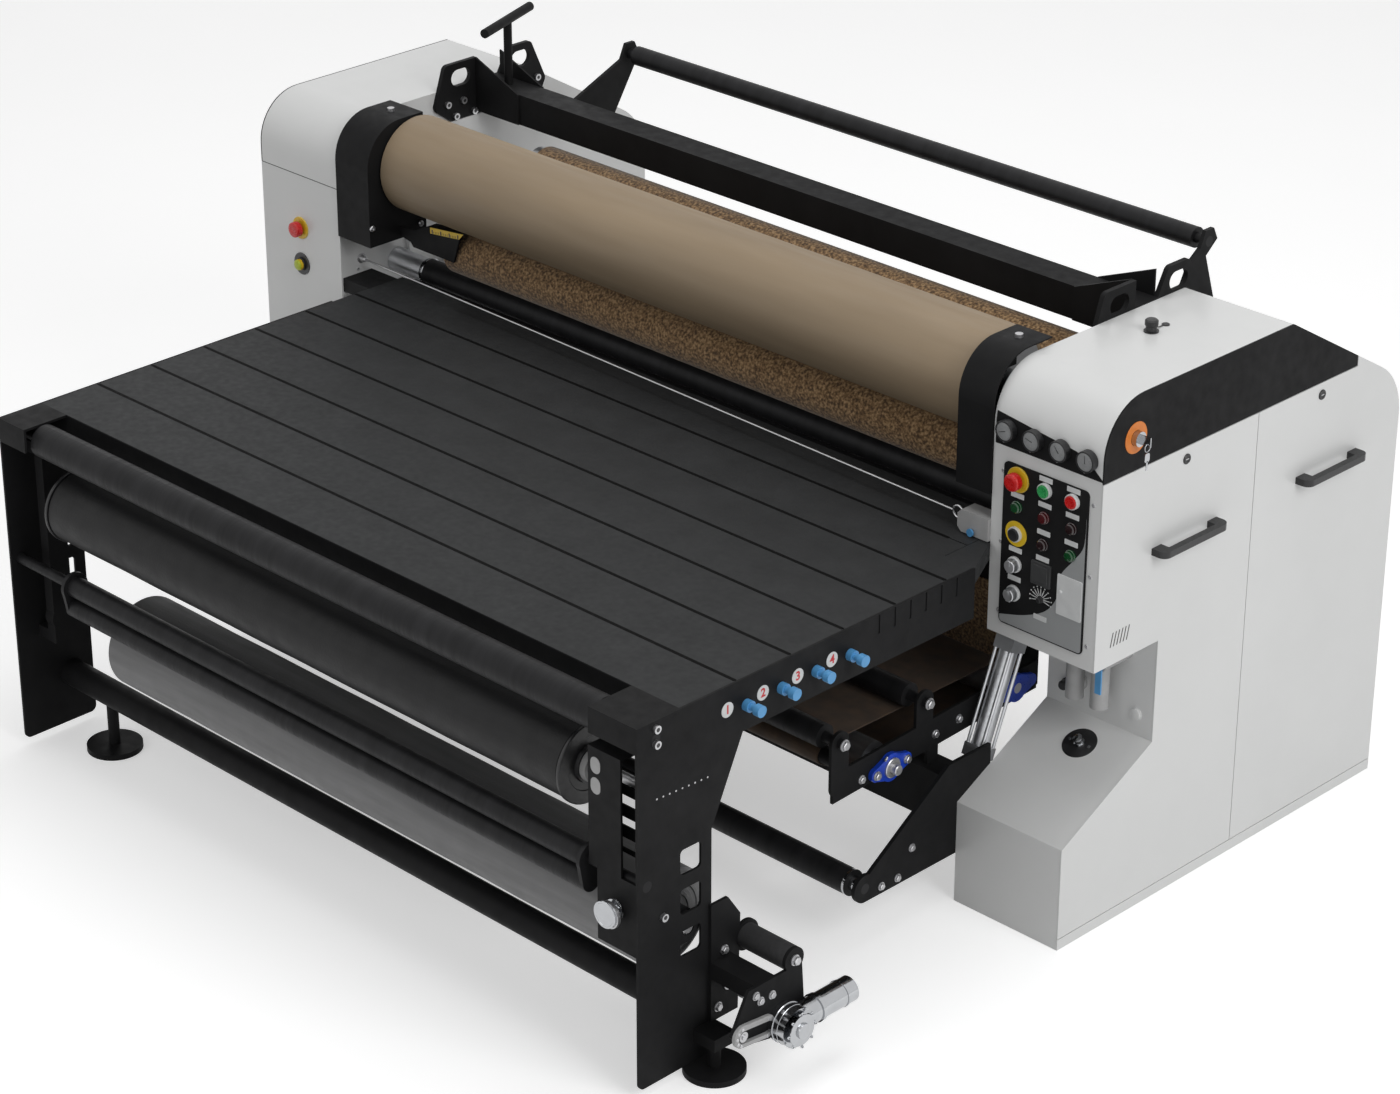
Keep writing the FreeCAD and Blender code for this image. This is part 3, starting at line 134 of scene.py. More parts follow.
def spread(tree, factor, low, high):
    """Maps the middle of a noise onto a range of values."""
    node = new_node(tree, "MapRange", {"From Min": noise_low, "From Max": noise_high,
                                       "To Min": low, "To Max": high})
    link(tree, factor, node.inputs["Value"])
    return node.outputs["Result"]


def bump(tree, shader, height, depth, strength):
    """Fine relief from a height value; depth is in metres."""
    node = new_node(tree, "Bump", {"Distance": depth, "Strength": strength})
    link(tree, height, node.inputs["Height"])
    link(tree, node.outputs["Normal"], shader.inputs["Normal"])


def new_material(name):
    """Material with its node tree and its surface shader."""
    material = bpy.data.materials.new(name)
    material.use_nodes = True
    tree = material.node_tree
    return material, tree, tree.nodes["Principled BSDF"]


def finish(name, colour, vary=0.08, rough=(0.35, 0.5), grain=900.0, depth=0.0002, strength=0.15,
           patch=6.0, stretch=(1, 1, 1), metallic=0.0, coat=0.0, specular=0.5):
    """Painted, moulded or metal surface: patchy colour, patchy gloss and a fine grain."""
    material, tree, shader = new_material(name)
    patches = noise(tree, patch, 4.0, stretch)
    low = [c * (1 - vary) for c in colour]
    high = [min(1.0, c * (1 + vary)) for c in colour]
    link(tree, ramp(tree, patches, [(noise_low, low), (noise_high, high)]), shader.inputs["Base Color"])
    wear = noise(tree, patch * 5.0, 5.0, stretch)
    link(tree, spread(tree, wear, *rough), shader.inputs["Roughness"])
    bump(tree, shader, noise(tree, grain, 2.0, stretch), depth, strength)
    set_inputs(shader, {"Metallic": metallic, "Coat Weight": coat, "Specular IOR Level": specular})
    return material


def cork_felt():
    """Matted needle felt: dark and tan clumps about 6 mm across."""
    material, tree, shader = new_material("felt")
    clumps = noise(tree, 150.0, 6.0)
    dark, tan, pale = (0.06, 0.03, 0.011), (0.21, 0.12, 0.05), (0.43, 0.28, 0.14)
    link(tree, ramp(tree, clumps, [(0.36, dark), (0.5, tan), (0.66, pale)]), shader.inputs["Base Color"])
    link(tree, spread(tree, noise(tree, 20.0), 0.85, 0.97), shader.inputs["Roughness"])
    bump(tree, shader, noise(tree, 380.0, 5.0), 0.0012, 0.7)
    set_inputs(shader, {"Sheen Weight": 0.25})
    return material


def woven(name, dark, light, thread, rough):
    """Cloth with slow shade changes; thread is the width of its crossing threads in metres."""
    waves_per_scale = 10 / math.pi
    material, tree, shader = new_material(name)
    place = new_node(tree, "TexCoord")
    waves = []
    for direction in ("X", "Y"):
        wave = new_node(tree, "TexWave", {"Scale": 1 / (waves_per_scale * thread), "Distortion": 0.6})
        wave.bands_direction = direction
        link(tree, place.outputs["Object"], wave.inputs["Vector"])
        waves.append(wave.outputs["Fac"])
    cross = new_node(tree, "Math")
    cross.operation = "MULTIPLY"
    link(tree, waves[0], cross.inputs[0])
    link(tree, waves[1], cross.inputs[1])
    shade = ramp(tree, noise(tree, 30.0, 6.0), [(noise_low, dark), (noise_high, light)])
    link(tree, shade, shader.inputs["Base Color"])
    link(tree, spread(tree, noise(tree, 9.0), *rough), shader.inputs["Roughness"])
    bump(tree, shader, cross.outputs["Value"], 0.0006, 0.35)
    set_inputs(shader, {"Sheen Weight": 0.15})
    return material


def wound(name, dark, light, rough):
    """Wound sheet: fine rings round the roll's axis on its ends and faint bands along it."""
    material, tree, shader = new_material(name)
    place = new_node(tree, "TexCoord")
    rings = new_node(tree, "TexWave", {"Scale": 180.0, "Distortion": 3.0})
    rings.wave_type = "RINGS"
    rings.rings_direction = "X"
    link(tree, place.outputs["Object"], rings.inputs["Vector"])
    bands = noise(tree, 14.0, 5.0, (0.25, 3.0, 3.0))
    shade = ramp(tree, bands, [(noise_low, dark), (noise_high, light)])
    link(tree, shade, shader.inputs["Base Color"])
    link(tree, spread(tree, noise(tree, 25.0), *rough), shader.inputs["Roughness"])
    bump(tree, shader, rings.outputs["Fac"], 0.0006, 0.3)
    set_inputs(shader, {"Specular IOR Level": 0.22})
    return material


def finishes(rows):
    return {name: finish(name, *values, **named) for name, *values, named in rows}


metal = {"metallic": 1.0}
turned_metal = {"stretch": (0.02, 1.0, 1.0), "metallic": 1.0}
turned_black = {"stretch": (3.0, 0.3, 0.3), "specular": 0.16}
looks = finishes((
    ("white_paint", (0.73, 0.735, 0.73), 0.02, (0.28, 0.42), 700.0, 0.0002, 0.12, 4.0, {"coat": 0.1}),
    ("black_paint", (0.012, 0.012, 0.0125), 0.2, (0.45, 0.62), 900.0, 0.0002, 0.2, 7.0, {"specular": 0.08}),
    ("grey_paint", (0.03, 0.031, 0.032), 0.12, (0.48, 0.62), 500.0, 0.0003, 0.25, 12.0, {"specular": 0.12}),
    ("drum_coat", (0.28, 0.21, 0.135), 0.14, (0.5, 0.7), 300.0, 0.0003, 0.25, 9.0, {"stretch": (0.12, 1, 1)}),
    ("steel", (0.5, 0.5, 0.51), 0.1, (0.28, 0.45), 1500.0, 0.0001, 0.15, 40.0, metal),
    ("chrome", (0.46, 0.47, 0.485), 0.05, (0.08, 0.2), 900.0, 0.0001, 0.06, 25.0, metal),
    ("aluminium", (0.6, 0.61, 0.63), 0.07, (0.3, 0.46), 1800.0, 0.0001, 0.2, 30.0, turned_metal),
    ("roller_black", (0.014, 0.014, 0.015), 0.3, (0.4, 0.58), 1100.0, 0.0002, 0.3, 10.0, turned_black),
    ("bearing_blue", (0.01, 0.055, 0.5), 0.2, (0.25, 0.42), 250.0, 0.0006, 0.35, 40.0, {}),
    ("red_plastic", (0.6, 0.012, 0.012), 0.08, (0.22, 0.34), 2000.0, 0.0001, 0.12, 60.0, {}),
    ("green_plastic", (0.03, 0.33, 0.09), 0.1, (0.22, 0.34), 2000.0, 0.0001, 0.12, 60.0, {}),
    ("yellow_plastic", (0.75, 0.5, 0.02), 0.06, (0.32, 0.45), 2000.0, 0.0001, 0.12, 60.0, {}),
    ("grey_plastic", (0.4, 0.4, 0.4), 0.06, (0.4, 0.55), 1500.0, 0.0001, 0.2, 40.0, {}),
    ("black_plastic", (0.012, 0.012, 0.013), 0.2, (0.3, 0.48), 1800.0, 0.0001, 0.25, 40.0, {}),
    ("blue_plastic", (0.09, 0.32, 0.62), 0.08, (0.3, 0.45), 1500.0, 0.0001, 0.15, 40.0, {}),
    ("rubber", (0.02, 0.02, 0.021), 0.25, (0.6, 0.8), 700.0, 0.0003, 0.35, 20.0, {}),
))
looks["felt"] = cork_felt()
looks["belt"] = woven("belt", (0.026, 0.0135, 0.006), (0.055, 0.029, 0.012), 0.003, (0.7, 0.85))
looks["roll_black"] = wound("roll_black", (0.01, 0.01, 0.0105), (0.016, 0.016, 0.0165), (0.42, 0.55))
looks["roll_grey"] = wound("roll_grey", (0.19, 0.19, 0.192), (0.24, 0.24, 0.243), (0.5, 0.65))
for subpart in frame["record"]["subparts"]:
    coats = frame["nodes"][subpart["node"]].data.materials
    coats.clear()
    coats.append(looks[subpart["material_slot"]])


# Mesh building
def placed(name, data):
    """Object that shows some data, put in the scene."""
    made = bpy.data.objects.new(name, data)
    bpy.context.scene.collection.objects.link(made)
    return made


class Shape:
    """Collects mesh parts in machine millimetres and turns them into one object."""

    sharp_angle = math.radians(32)
    bevel_segments = 2

    def __init__(self):
        self.mesh = bmesh.new()

    def skin(self, rings, closed=False, caps=True):
        """Faces between rings of equal length; a closed run joins the last ring to the first."""
        made = [[self.mesh.verts.new(row(*p)) for p in ring] for ring in rings]
        pairs = list(zip(made, made[1:]))
        if closed:
            pairs.append((made[-1], made[0]))
        for a, b in pairs:
            for k in range(len(a)):
                following = (k + 1) % len(a)
                self.mesh.faces.new((a[k], a[following], b[following], b[k]))
        if caps and not closed:
            self.mesh.faces.new(list(reversed(made[0])))
            self.mesh.faces.new(made[-1])
        return self

    def prism(self, points, axis, low, high):
        """Outline in the two other axes, drawn out along one axis."""
        return self.skin([[spot(axis, t, a, b) for a, b in points] for t in (low, high)])

    def block(self, low, high):
        """Box between two corners."""
        points = [(low[0], low[1]), (high[0], low[1]), (high[0], high[1]), (low[0], high[1])]
        return self.prism(points, "Z", low[2], high[2])

    def lathe(self, centre, aim, profile, segments=40, hole=False):
        """Turned form: (distance along aim, radius) pairs about a line through centre."""
        aim = Vector(aim).normalized()
        side = aim.orthogonal().normalized()
        other = aim.cross(side)
        rings = []
        for along, radius in profile:
            middle = Vector(centre) + aim * along
            rings.append([middle + (side * math.cos(t) + other * math.sin(t)) * radius
                          for t in (2 * math.pi * k / segments for k in range(segments))])
        return self.skin(rings, closed=hole)

    def tube(self, path, radius, segments=12):
        """Round bar along a line of points."""
        points = [Vector(p) for p in path]
        rings = []
        side = None
        for k, point in enumerate(points):
            ahead = points[min(k + 1, len(points) - 1)] - points[max(k - 1, 0)]
            ahead.normalize()
            side = ahead.orthogonal() if side is None else side - ahead * side.dot(ahead)
            side.normalize()
            other = ahead.cross(side)
            rings.append([point + (side * math.cos(t) + other * math.sin(t)) * radius
                          for t in (2 * math.pi * j / segments for j in range(segments))])
        return self.skin(rings)

    def done(self, name, slot, material=None, body="root", bevel=0.0, origin=None):
        """Makes the object with smooth faces and round edges; it rides on a body if one is named."""
        bmesh.ops.recalc_face_normals(self.mesh, faces=self.mesh.faces)
        middle = row(*origin) if origin else Vector()
        bmesh.ops.translate(self.mesh, verts=self.mesh.verts, vec=-middle)
        data = bpy.data.meshes.new(name)
        self.mesh.to_mesh(data)
        self.mesh.free()
        for face in data.polygons:
            face.use_smooth = True
        data.set_sharp_from_angle(angle=self.sharp_angle)
        data.materials.append(material or looks[slot])
        made = placed(name, data)
        made.location = middle
        if bevel:
            rounding = made.modifiers.new("edges", "BEVEL")
            rounding.width = bevel * milli
            rounding.segments = self.bevel_segments
            rounding.limit_method = "ANGLE"
        if body:
            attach(made, body)
        return made


def spot(axis, along, a, b):
    """Point from a distance along one axis and the two other coordinates in X, Y, Z order."""
    if axis == "X":
        return (along, a, b)
    if axis == "Y":
        return (a, along, b)
    return (a, b, along)


def round_rect(a0, a1, b0, b1, radius, steps=5):
    """Rectangle outline with round corners."""
    points = []
    corners = ((a1 - radius, b1 - radius), (a0 + radius, b1 - radius), (a0 + radius, b0 + radius),
               (a1 - radius, b0 + radius))
    for k, (a, b) in enumerate(corners):
        for j in range(steps + 1):
            t = math.pi / 2 * (k + j / steps)
            points.append((a + radius * math.cos(t), b + radius * math.sin(t)))
    return points


def screw_head(shape, centre, aim, radius, height):
    """Pan head with a hexagon socket, standing on its face."""
    socket = radius * 0.5
    shape.lathe(centre, aim, [(0, radius), (height * 0.6, radius), (height, radius * 0.82), (height, socket),
                              (height * 0.45, socket * 0.9)], 18)


def hex_heads(shape, x, places, radius, height):
    """Hexagon bolt heads on their washers, on a face that looks to the right."""
    washer, top = radius * 1.25, height * 0.25
    head = [(top, radius), (height * 0.85, radius), (height, radius * 0.8)]
    for y, z in places:
        shape.lathe((x, y, z), to_right, [(0, washer), (top, washer)], 20)
        shape.lathe((x, y, z), to_right, head, 6)


def side_sockets(name, x, places, radius):
    """Dark hexagon sockets in bolts that look to the right."""
    sockets = Shape()
    for y, z in places:
        sockets.lathe((x, y, z), to_right, [(0, radius), (0.3, radius), (0.3, 0.6)], 6)
    sockets.done(name, "black_plastic")


# Felt and belt: endless cloths round their rollers
def loop_points(circles, gap, step=7.0):
    """Closed path of arcs and tangents round (depth, height, radius) circles; minus turns clockwise."""
    straight_step = 8 * step
    wide = [(y, z, s + math.copysign(gap, s)) for y, z, s in circles]
    count = len(wide)
    headings = []
    for k in range(count):
        y0, z0, s0 = wide[k]
        y1, z1, s1 = wide[(k + 1) % count]
        length = math.hypot(y1 - y0, z1 - z0)
        headings.append(math.atan2(z1 - z0, y1 - y0) + math.asin((s0 - s1) / length))
    points = []
    for k in range(count):
        y, z, s = wide[k]
        turn = (headings[k] - headings[k - 1]) % (2 * math.pi)
        if s < 0:
            turn -= 2 * math.pi
        pieces = max(2, int(abs(turn * s) / step))
        for j in range(pieces + 1):
            t = headings[k - 1] + turn * j / pieces
            points.append((y + s * math.sin(t), z - s * math.cos(t)))
        y1, z1, s1 = wide[(k + 1) % count]
        start = points[-1]
        end = (y1 + s1 * math.sin(headings[k]), z1 - s1 * math.cos(headings[k]))
        pieces = max(1, int(math.dist(start, end) / straight_step))
        for j in range(1, pieces):
            points.append(tuple(a + (b - a) * j / pieces for a, b in zip(start, end)))
    return points


def endless_cloth(name, body, circles, gap, thick, left, right, slot, cad_node):
    """Cloth loop with soft round edges; gap is from the rollers to the middle of its thickness."""
    path = loop_points(circles, gap)
    soft = thick / 2
    section = []
    edge_steps = 6
    for x, start in ((right - soft, math.pi / 2), (left + soft, -math.pi / 2)):
        for j in range(edge_steps + 1):
            t = start - math.pi * j / edge_steps
            section.append((x + soft * math.cos(t), soft * math.sin(t)))
    rings = []
    for k, (y, z) in enumerate(path):
        before = path[k - 1]
        after = path[(k + 1) % len(path)]
        reach = math.dist(before, after)
        out_y = -(after[1] - before[1]) / reach
        out_z = (after[0] - before[0]) / reach
        rings.append([(x, y + out_y * t, z + out_z * t) for x, t in section])
    cloth = Shape().skin(rings, closed=True).done(name, slot, body=body)
    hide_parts(cad_node)
    return cloth


def round_of(node, sign):
    """Signed circle of a roller: its axis and the radius of its body."""
    y, z = axis_of(node)
    low, high = span(node)
    return (y, z, sign * (high.z - low.z) / 2)


def felt_and_belt():
    """Felt loop round its rollers, and the conveyor's belt."""
    low, high = span("felt_blanket")
    run_gap = 0.5
    felt_thick = 6.0
    felt_rests = ["nip_roller", "drum_shell", "rear_felt_roller", "lower_felt_roller"]
    circles = [round_of(node, 1 if node == "drum_shell" else -1) for node in felt_rests]
    felt = endless_cloth("felt_cloth", None, circles, run_gap + felt_thick / 2, felt_thick, low.x, high.x,
                         "felt", "felt_blanket")
    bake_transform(felt)
    low, high = span("conveyor_belt")
    belt_thick = 4.0
    nose_bar = (-287.0, 434.0, -20.0)
    circles = [nose_bar, round_of("conveyor_rear_roller", -1), round_of("conveyor_front_roller", -1)]
    endless_cloth("belt_cloth", "root", circles, run_gap + belt_thick / 2, belt_thick, low.x, high.x, "belt",
                  "conveyor_belt")


felt_and_belt()


# Wound supply rolls on their shafts
def wound_profile(left, right, radius, core, middle):
    """Outline of a wound roll along its axis: stepped layer edges on both ends and a soft rim."""
    layers, layer_share, uneven = 9, 0.86, 1.6
    step = (radius - core) / layers
    ends = []
    for k in range(layers):
        inset = uneven * math.sin(k * 2.1)
        ends.append((inset, core + k * step))
        ends.append((inset, core + (k + layer_share) * step))
    rim, end_inset = 3.0, 2
    start = [(left - middle + end_inset + shift, r) for shift, r in ends[:-1]]
    start += [(left - middle + end_inset, radius - rim), (left - middle + rim + 1, radius)]
    ripples, ripple = 14, 0.5
    barrel = [(left - middle + (right - left) * k / ripples, radius - ripple + ripple * math.sin(k * 2.4))
              for k in range(1, ripples)]
    finish_end = [(-along + (left - middle) + (right - middle), r) for along, r in reversed(start)]
    return start + barrel + finish_end


def supply_roll(node, left, right, radius, core, slot, core_slot):
    """Winding, core tube and shaft of one roll; gives back the winding's centre."""
    low, high = span(node)
    y, z = axis_of(node)
    middle = (left + right) / 2
    centre = (middle, y, z)
    cloth = Shape().lathe(centre, to_right, wound_profile(left, right, radius, core, middle), 72)
    cloth = cloth.done(node + "_winding", slot, origin=centre, body=node)
    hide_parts(node)
    tube_out = 30
    start, end = left - middle - tube_out, right - middle + tube_out
    inner, outer = core * 0.86, core - 0.5
    tube = Shape().lathe(centre, to_right, [(start, inner), (start, outer), (end, outer), (end, inner)], 40)
    tube.done(node + "_core", core_slot, origin=centre, body=node)
    chamfer, shaft = 3.0, 15.9
    length = high.x - low.x
    ends = [(0, shaft - chamfer), (chamfer, shaft), (length - chamfer, shaft), (length, shaft - chamfer)]
    bar = Shape().lathe((low.x, y, z), to_right, ends, 28)
    bar.done(node + "_shaft", "steel", body=node)
    return centre


def supply_rolls():
    """Front roll between its end discs, and the rear roll."""
    left, right, core = -827.0, 902.0, 38.0
    centre = supply_roll("front_supply_roll", left, right, 88.0, core, "roll_black", "grey_plastic")
    disc = Shape()
    thick = 8.0
    for x, way in ((left, -1), (right, 1)):
        disc.lathe((x, centre[1], centre[2]), (way, 0, 0),
                   [(0, 30), (0, 90), (1.5, 92), (thick - 1.5, 92), (thick, 90), (thick, 62), (thick - 2, 60),
                    (thick - 2, 44), (thick + 6, 42), (thick + 6, 17)], 56)
    disc.done("front_roll_discs", "black_plastic", origin=centre, body="front_supply_roll")
    supply_roll("rear_supply_roll", -673.0, 1085.0, 112.0, core, "roll_grey", "roller_black")


supply_rolls()


# Finishes of the small parts that no solid carries
glassy = {"coat": 0.5}
extra = finishes((
    ("panel_film", (0.34, 0.35, 0.355), 0.05, (0.3, 0.42), 1200.0, 0.0001, 0.1, 8.0, {}),
    ("label_white", (0.66, 0.67, 0.67), 0.05, (0.35, 0.5), 1500.0, 0.0001, 0.1, 40.0, {}),
    ("socket_grey", (0.035, 0.036, 0.037), 0.15, (0.4, 0.55), 1500.0, 0.0001, 0.2, 40.0, {}),
    ("lamp_green", (0.004, 0.06, 0.015), 0.2, (0.12, 0.22), 1500.0, 0.0001, 0.1, 60.0, glassy),
    ("lamp_red", (0.07, 0.004, 0.006), 0.2, (0.12, 0.22), 1500.0, 0.0001, 0.1, 60.0, glassy),
    ("lamp_dark", (0.02, 0.008, 0.009), 0.2, (0.12, 0.22), 1500.0, 0.0001, 0.1, 60.0, glassy),
    ("gauge_glass", (0.3, 0.305, 0.31), 0.12, (0.2, 0.3), 600.0, 0.0001, 0.05, 50.0, {"coat": 0.6}),
    # Painted shade: near-black, dull strips that stand for the shade in the table's grooves
    ("seam_black", (0.004, 0.004, 0.004), 0.2, (0.6, 0.75), 900.0, 0.0001, 0.1, 20.0, {"specular": 0.05}),
    ("orange_tag", (0.72, 0.2, 0.015), 0.07, (0.3, 0.42), 1500.0, 0.0001, 0.12, 60.0, {}),
    ("numeral_red", (0.55, 0.012, 0.02), 0.06, (0.35, 0.5), 1500.0, 0.0001, 0.1, 60.0, {}),
    ("lime_plastic", (0.42, 0.5, 0.015), 0.07, (0.25, 0.36), 2000.0, 0.0001, 0.12, 60.0, {}),
))


def ring(shape, centre, aim, inner, outer, height, segments=40):
    """Round collar with a hole, with a soft front rim."""
    soft = min(height, outer - inner) * 0.3
    profile = [(0, inner), (0, outer), (height - soft, outer), (height, outer - soft), (height, inner)]
    shape.lathe(centre, aim, profile, segments, hole=True)


def dome(shape, centre, aim, radius, height, segments=32):
    """Low round cap."""
    steps = 5
    profile = [(0, radius)]
    for k in range(1, steps + 1):
        t = math.pi / 2 * k / steps
        profile.append((height * math.sin(t), max(0.3, radius * math.cos(t))))
    shape.lathe(centre, aim, profile, segments)


def smooth_line(points, steps=6):
    """Curve through points (Catmull-Rom)."""
    line = []
    for k in range(len(points) - 1):
        a = points[max(k - 1, 0)]
        b, c = points[k], points[k + 1]
        d = points[min(k + 2, len(points) - 1)]
        for j in range(steps):
            t = j / steps
            line.append(tuple(0.5 * (2 * q + (r - p) * t + (2 * p - 5 * q + 4 * r - s) * t * t
                                     + (3 * q - p - 3 * r + s) * t ** 3) for p, q, r, s in zip(a, b, c, d)))
    line.append(points[-1])
    return line


def panel_face():
    """Film below a wavy edge, bare label plates, a cover plate and a socket on the control panel."""
    low, high = span("control_panel")
    face = low.y
    edge, corner = 3.0, 8
    wave = smooth_line([(high.x - edge, 1016), (1346, 950), (1318, 906), (1287, 862), (1279, 805),
                        (1248, 762), (1190, 732), (low.x + edge, 712)])
    outline = wave + [(low.x + edge, low.z + corner), (low.x + corner, low.z + edge),
                      (high.x - corner, low.z + edge), (high.x - edge, low.z + corner)]
    film_thick, sunk = 0.5, 0.2
    film = Shape().prism(outline, "Y", face - film_thick, face + sunk)
    film.done("panel_film", "grey_plastic", extra["panel_film"])
    plates = Shape()
    half_long, half_high, plate_thick = 18.0, 6.0, 1.4
    for x, z in ((1236, 1071), (1312, 1071), (1160, 1009), (1236, 1011), (1312, 1011), (1236, 946),
                 (1312, 947), (1160, 880), (1236, 884), (1160, 811), (1236, 742)):
        plate = round_rect(x - half_long, x + half_long, z - half_high, z + half_high, 1.2)
        plates.prism(plate, "Y", face - plate_thick, face)
    plates.prism(round_rect(1280, 1348, 770, 866, 3), "Y", face - 2.5, face)
    dome(plates, (1291, face - 2.5, 826), to_front, 4.5, 4.0)
    plates.done("panel_plates", "white_paint", extra["label_white"], bevel=0.4)
    block = Shape().prism(round_rect(1208, 1262, 820, 875, 3), "Y", face - 5, face)
    block.prism(round_rect(1215, 1255, 827, 868, 2), "Y", face - 7, face - 5)
    block.done("panel_socket", "black_plastic", extra["socket_grey"], bevel=0.6)


def turned(x, z, angle, outline):
    """Outline of (along, across) points turned about a place on a front face."""
    c, s = math.cos(angle), math.sin(angle)
    return [(x + c * r - s * w, z + s * r + c * w) for r, w in outline]


def face_of(node):
    """Middle, height and foremost depth of a control."""
    low, high = span(node)
    return (low.x + high.x) / 2, (low.z + high.z) / 2, low.y


def fan_scale():
    """Dial of radial marks round a small pointer knob."""
    face = span("control_panel")[0].y
    x0, z0 = 1235.0, 786.0
    marks = Shape()
    count, inner, outer, half, dots = 11, 9.0, 26.0, 0.8, 30
    start, sweep = -0.08 * math.pi, 1.16 * math.pi
    for k in range(count):
        t = start + sweep * k / (count - 1)
        pointer = [(inner, -half), (outer, -half), (outer, half), (inner, half)]
        marks.prism(turned(x0, z0, t, pointer), "Y", face - 0.9, face)
        dome(marks, (x0 + math.cos(t) * dots, face, z0 + math.sin(t) * dots), to_front, 1.8, 1.0, 10)
    marks.done("dial_marks", "white_paint", extra["label_white"])
    knob = Shape().lathe((x0, face, z0), to_front, [(0, 8), (2, 8), (3, 6.5), (9, 6), (10, 5), (10, 1)], 24)
    knob.done("dial_knob", "black_plastic")


def button_dress():
    """Bezels, discs, lamps and caps of the controls on both cabinets."""
    face = span("control_panel")[0].y
    left, mid, right = 1160.0, 1236.0, 1312.0
    top, second, third = 1046.0, 982.0, 918.0
    disc, disc_hole, disc_thick = 29.4, 8.2, 3.4
    white = Shape()
    for x, z in ((mid, top), (right, top), (left, third)):
        ring(white, (x, face, z), to_front, 14.8, 17.6, 9.5)
    for z in (845.0, 776.0):
        ring(white, (left, face, z), to_front, 15.4, 18.5, 6.0)
    white.done("button_bezels", "white_paint", extra["label_white"])
    yellow = Shape()
    ring(yellow, (left, face, top), to_front, disc_hole, disc, disc_thick)
    ring(yellow, (left, face, third), to_front, 17.7, disc, 2.4)
    left_x, left_stop_z, _ = face_of("emergency_stop_left")
    ring(yellow, (left_x, cabinet_front, left_stop_z), to_front, disc_hole, disc, disc_thick)
    yellow.done("stop_discs", "yellow_plastic")
    black = Shape()
    _, left_button_z, left_button_y = face_of("left_button")
    ring(black, (left_x, cabinet_front, left_button_z), to_front, disc_hole, disc, disc_thick)
    ring(black, (left_x, cabinet_front - disc_thick, left_button_z), to_front, 15.0, 18.0, 5.0)
    black.done("left_button_disc", "black_plastic")
    lens = [(0, 14), (3, 14), (4, 12.6), (9, 12.3), (11.5, 10), (12.2, 6), (12.4, 1)]
    lamps = (("green_lamps", "lamp_green", "green_plastic", ((left, second), (right, third))),
             ("red_lamp", "lamp_red", "red_plastic", ((mid, second),)),
             ("dark_lamps", "lamp_dark", "red_plastic", ((right, second), (mid, third))))
    for name, look, slot, places in lamps:
        lamp = Shape()
        for x, z in places:
            lamp.lathe((x, face, z), to_front, lens, 32)
        lamp.done(name, slot, extra[look])
    dished = [(0, 13.9), (0.9, 13.9), (1.6, 13.0), (1.1, 11.0), (0.9, 1)]
    for name, x, z, slot in (("start_button", mid, top, "green_plastic"),
                             ("stop_button", right, top, "red_plastic"),
                             ("black_button", left, third, "black_plastic")):
        cap = Shape().lathe((x, span(name)[0].y + 0.5, z), to_front, dished, 36)
        cap.done(name + "_cap", slot, body=name)
    domed = [(0, 13.9), (2, 13.9), (4.5, 11), (5.3, 6), (5.5, 1)]
    cap = Shape().lathe((left_x, left_button_y + 0.5, left_button_z), to_front, domed, 36)
    cap.done("left_button_cap", "yellow_plastic", extra["lime_plastic"], body="left_button")
    crown = [(0, 20.0), (2.0, 18.6), (3.8, 14.5), (4.3, 9), (4.0, 7.5), (4.0, 1)]
    for name in ("emergency_stop_right", "emergency_stop_left"):
        x, z, y = face_of(name)
        Shape().lathe((x, y + 3.2, z), to_front, crown, 40).done(name + "_crown", "red_plastic", body=name)
    grip = [(0, 15.2), (14, 15.2), (19.6, 14.4), (20.6, 13), (20.6, 1)]
    for name in ("selector_upper", "selector_lower"):
        x, z, y = face_of(name)
        knob = Shape().lathe((x, y + 20, z), to_front, grip, 40)
        knob.block((x - 1, y - 1.2, z), (x + 1, y - 0.4, z + 12))
        knob.done(name + "_knob", "aluminium", body=name)


panel_face()
fan_scale()
button_dress()


# Gauge strip and gauges on the right hood
def hood_front(z):
    """Depth of the hood's front face at a height: flat, then a quarter round."""
    flat_top, radius = 1157.0, 125.0
    if z <= flat_top:
        return cabinet_front
    return cabinet_front + radius - math.sqrt(radius ** 2 - (z - flat_top) ** 2)


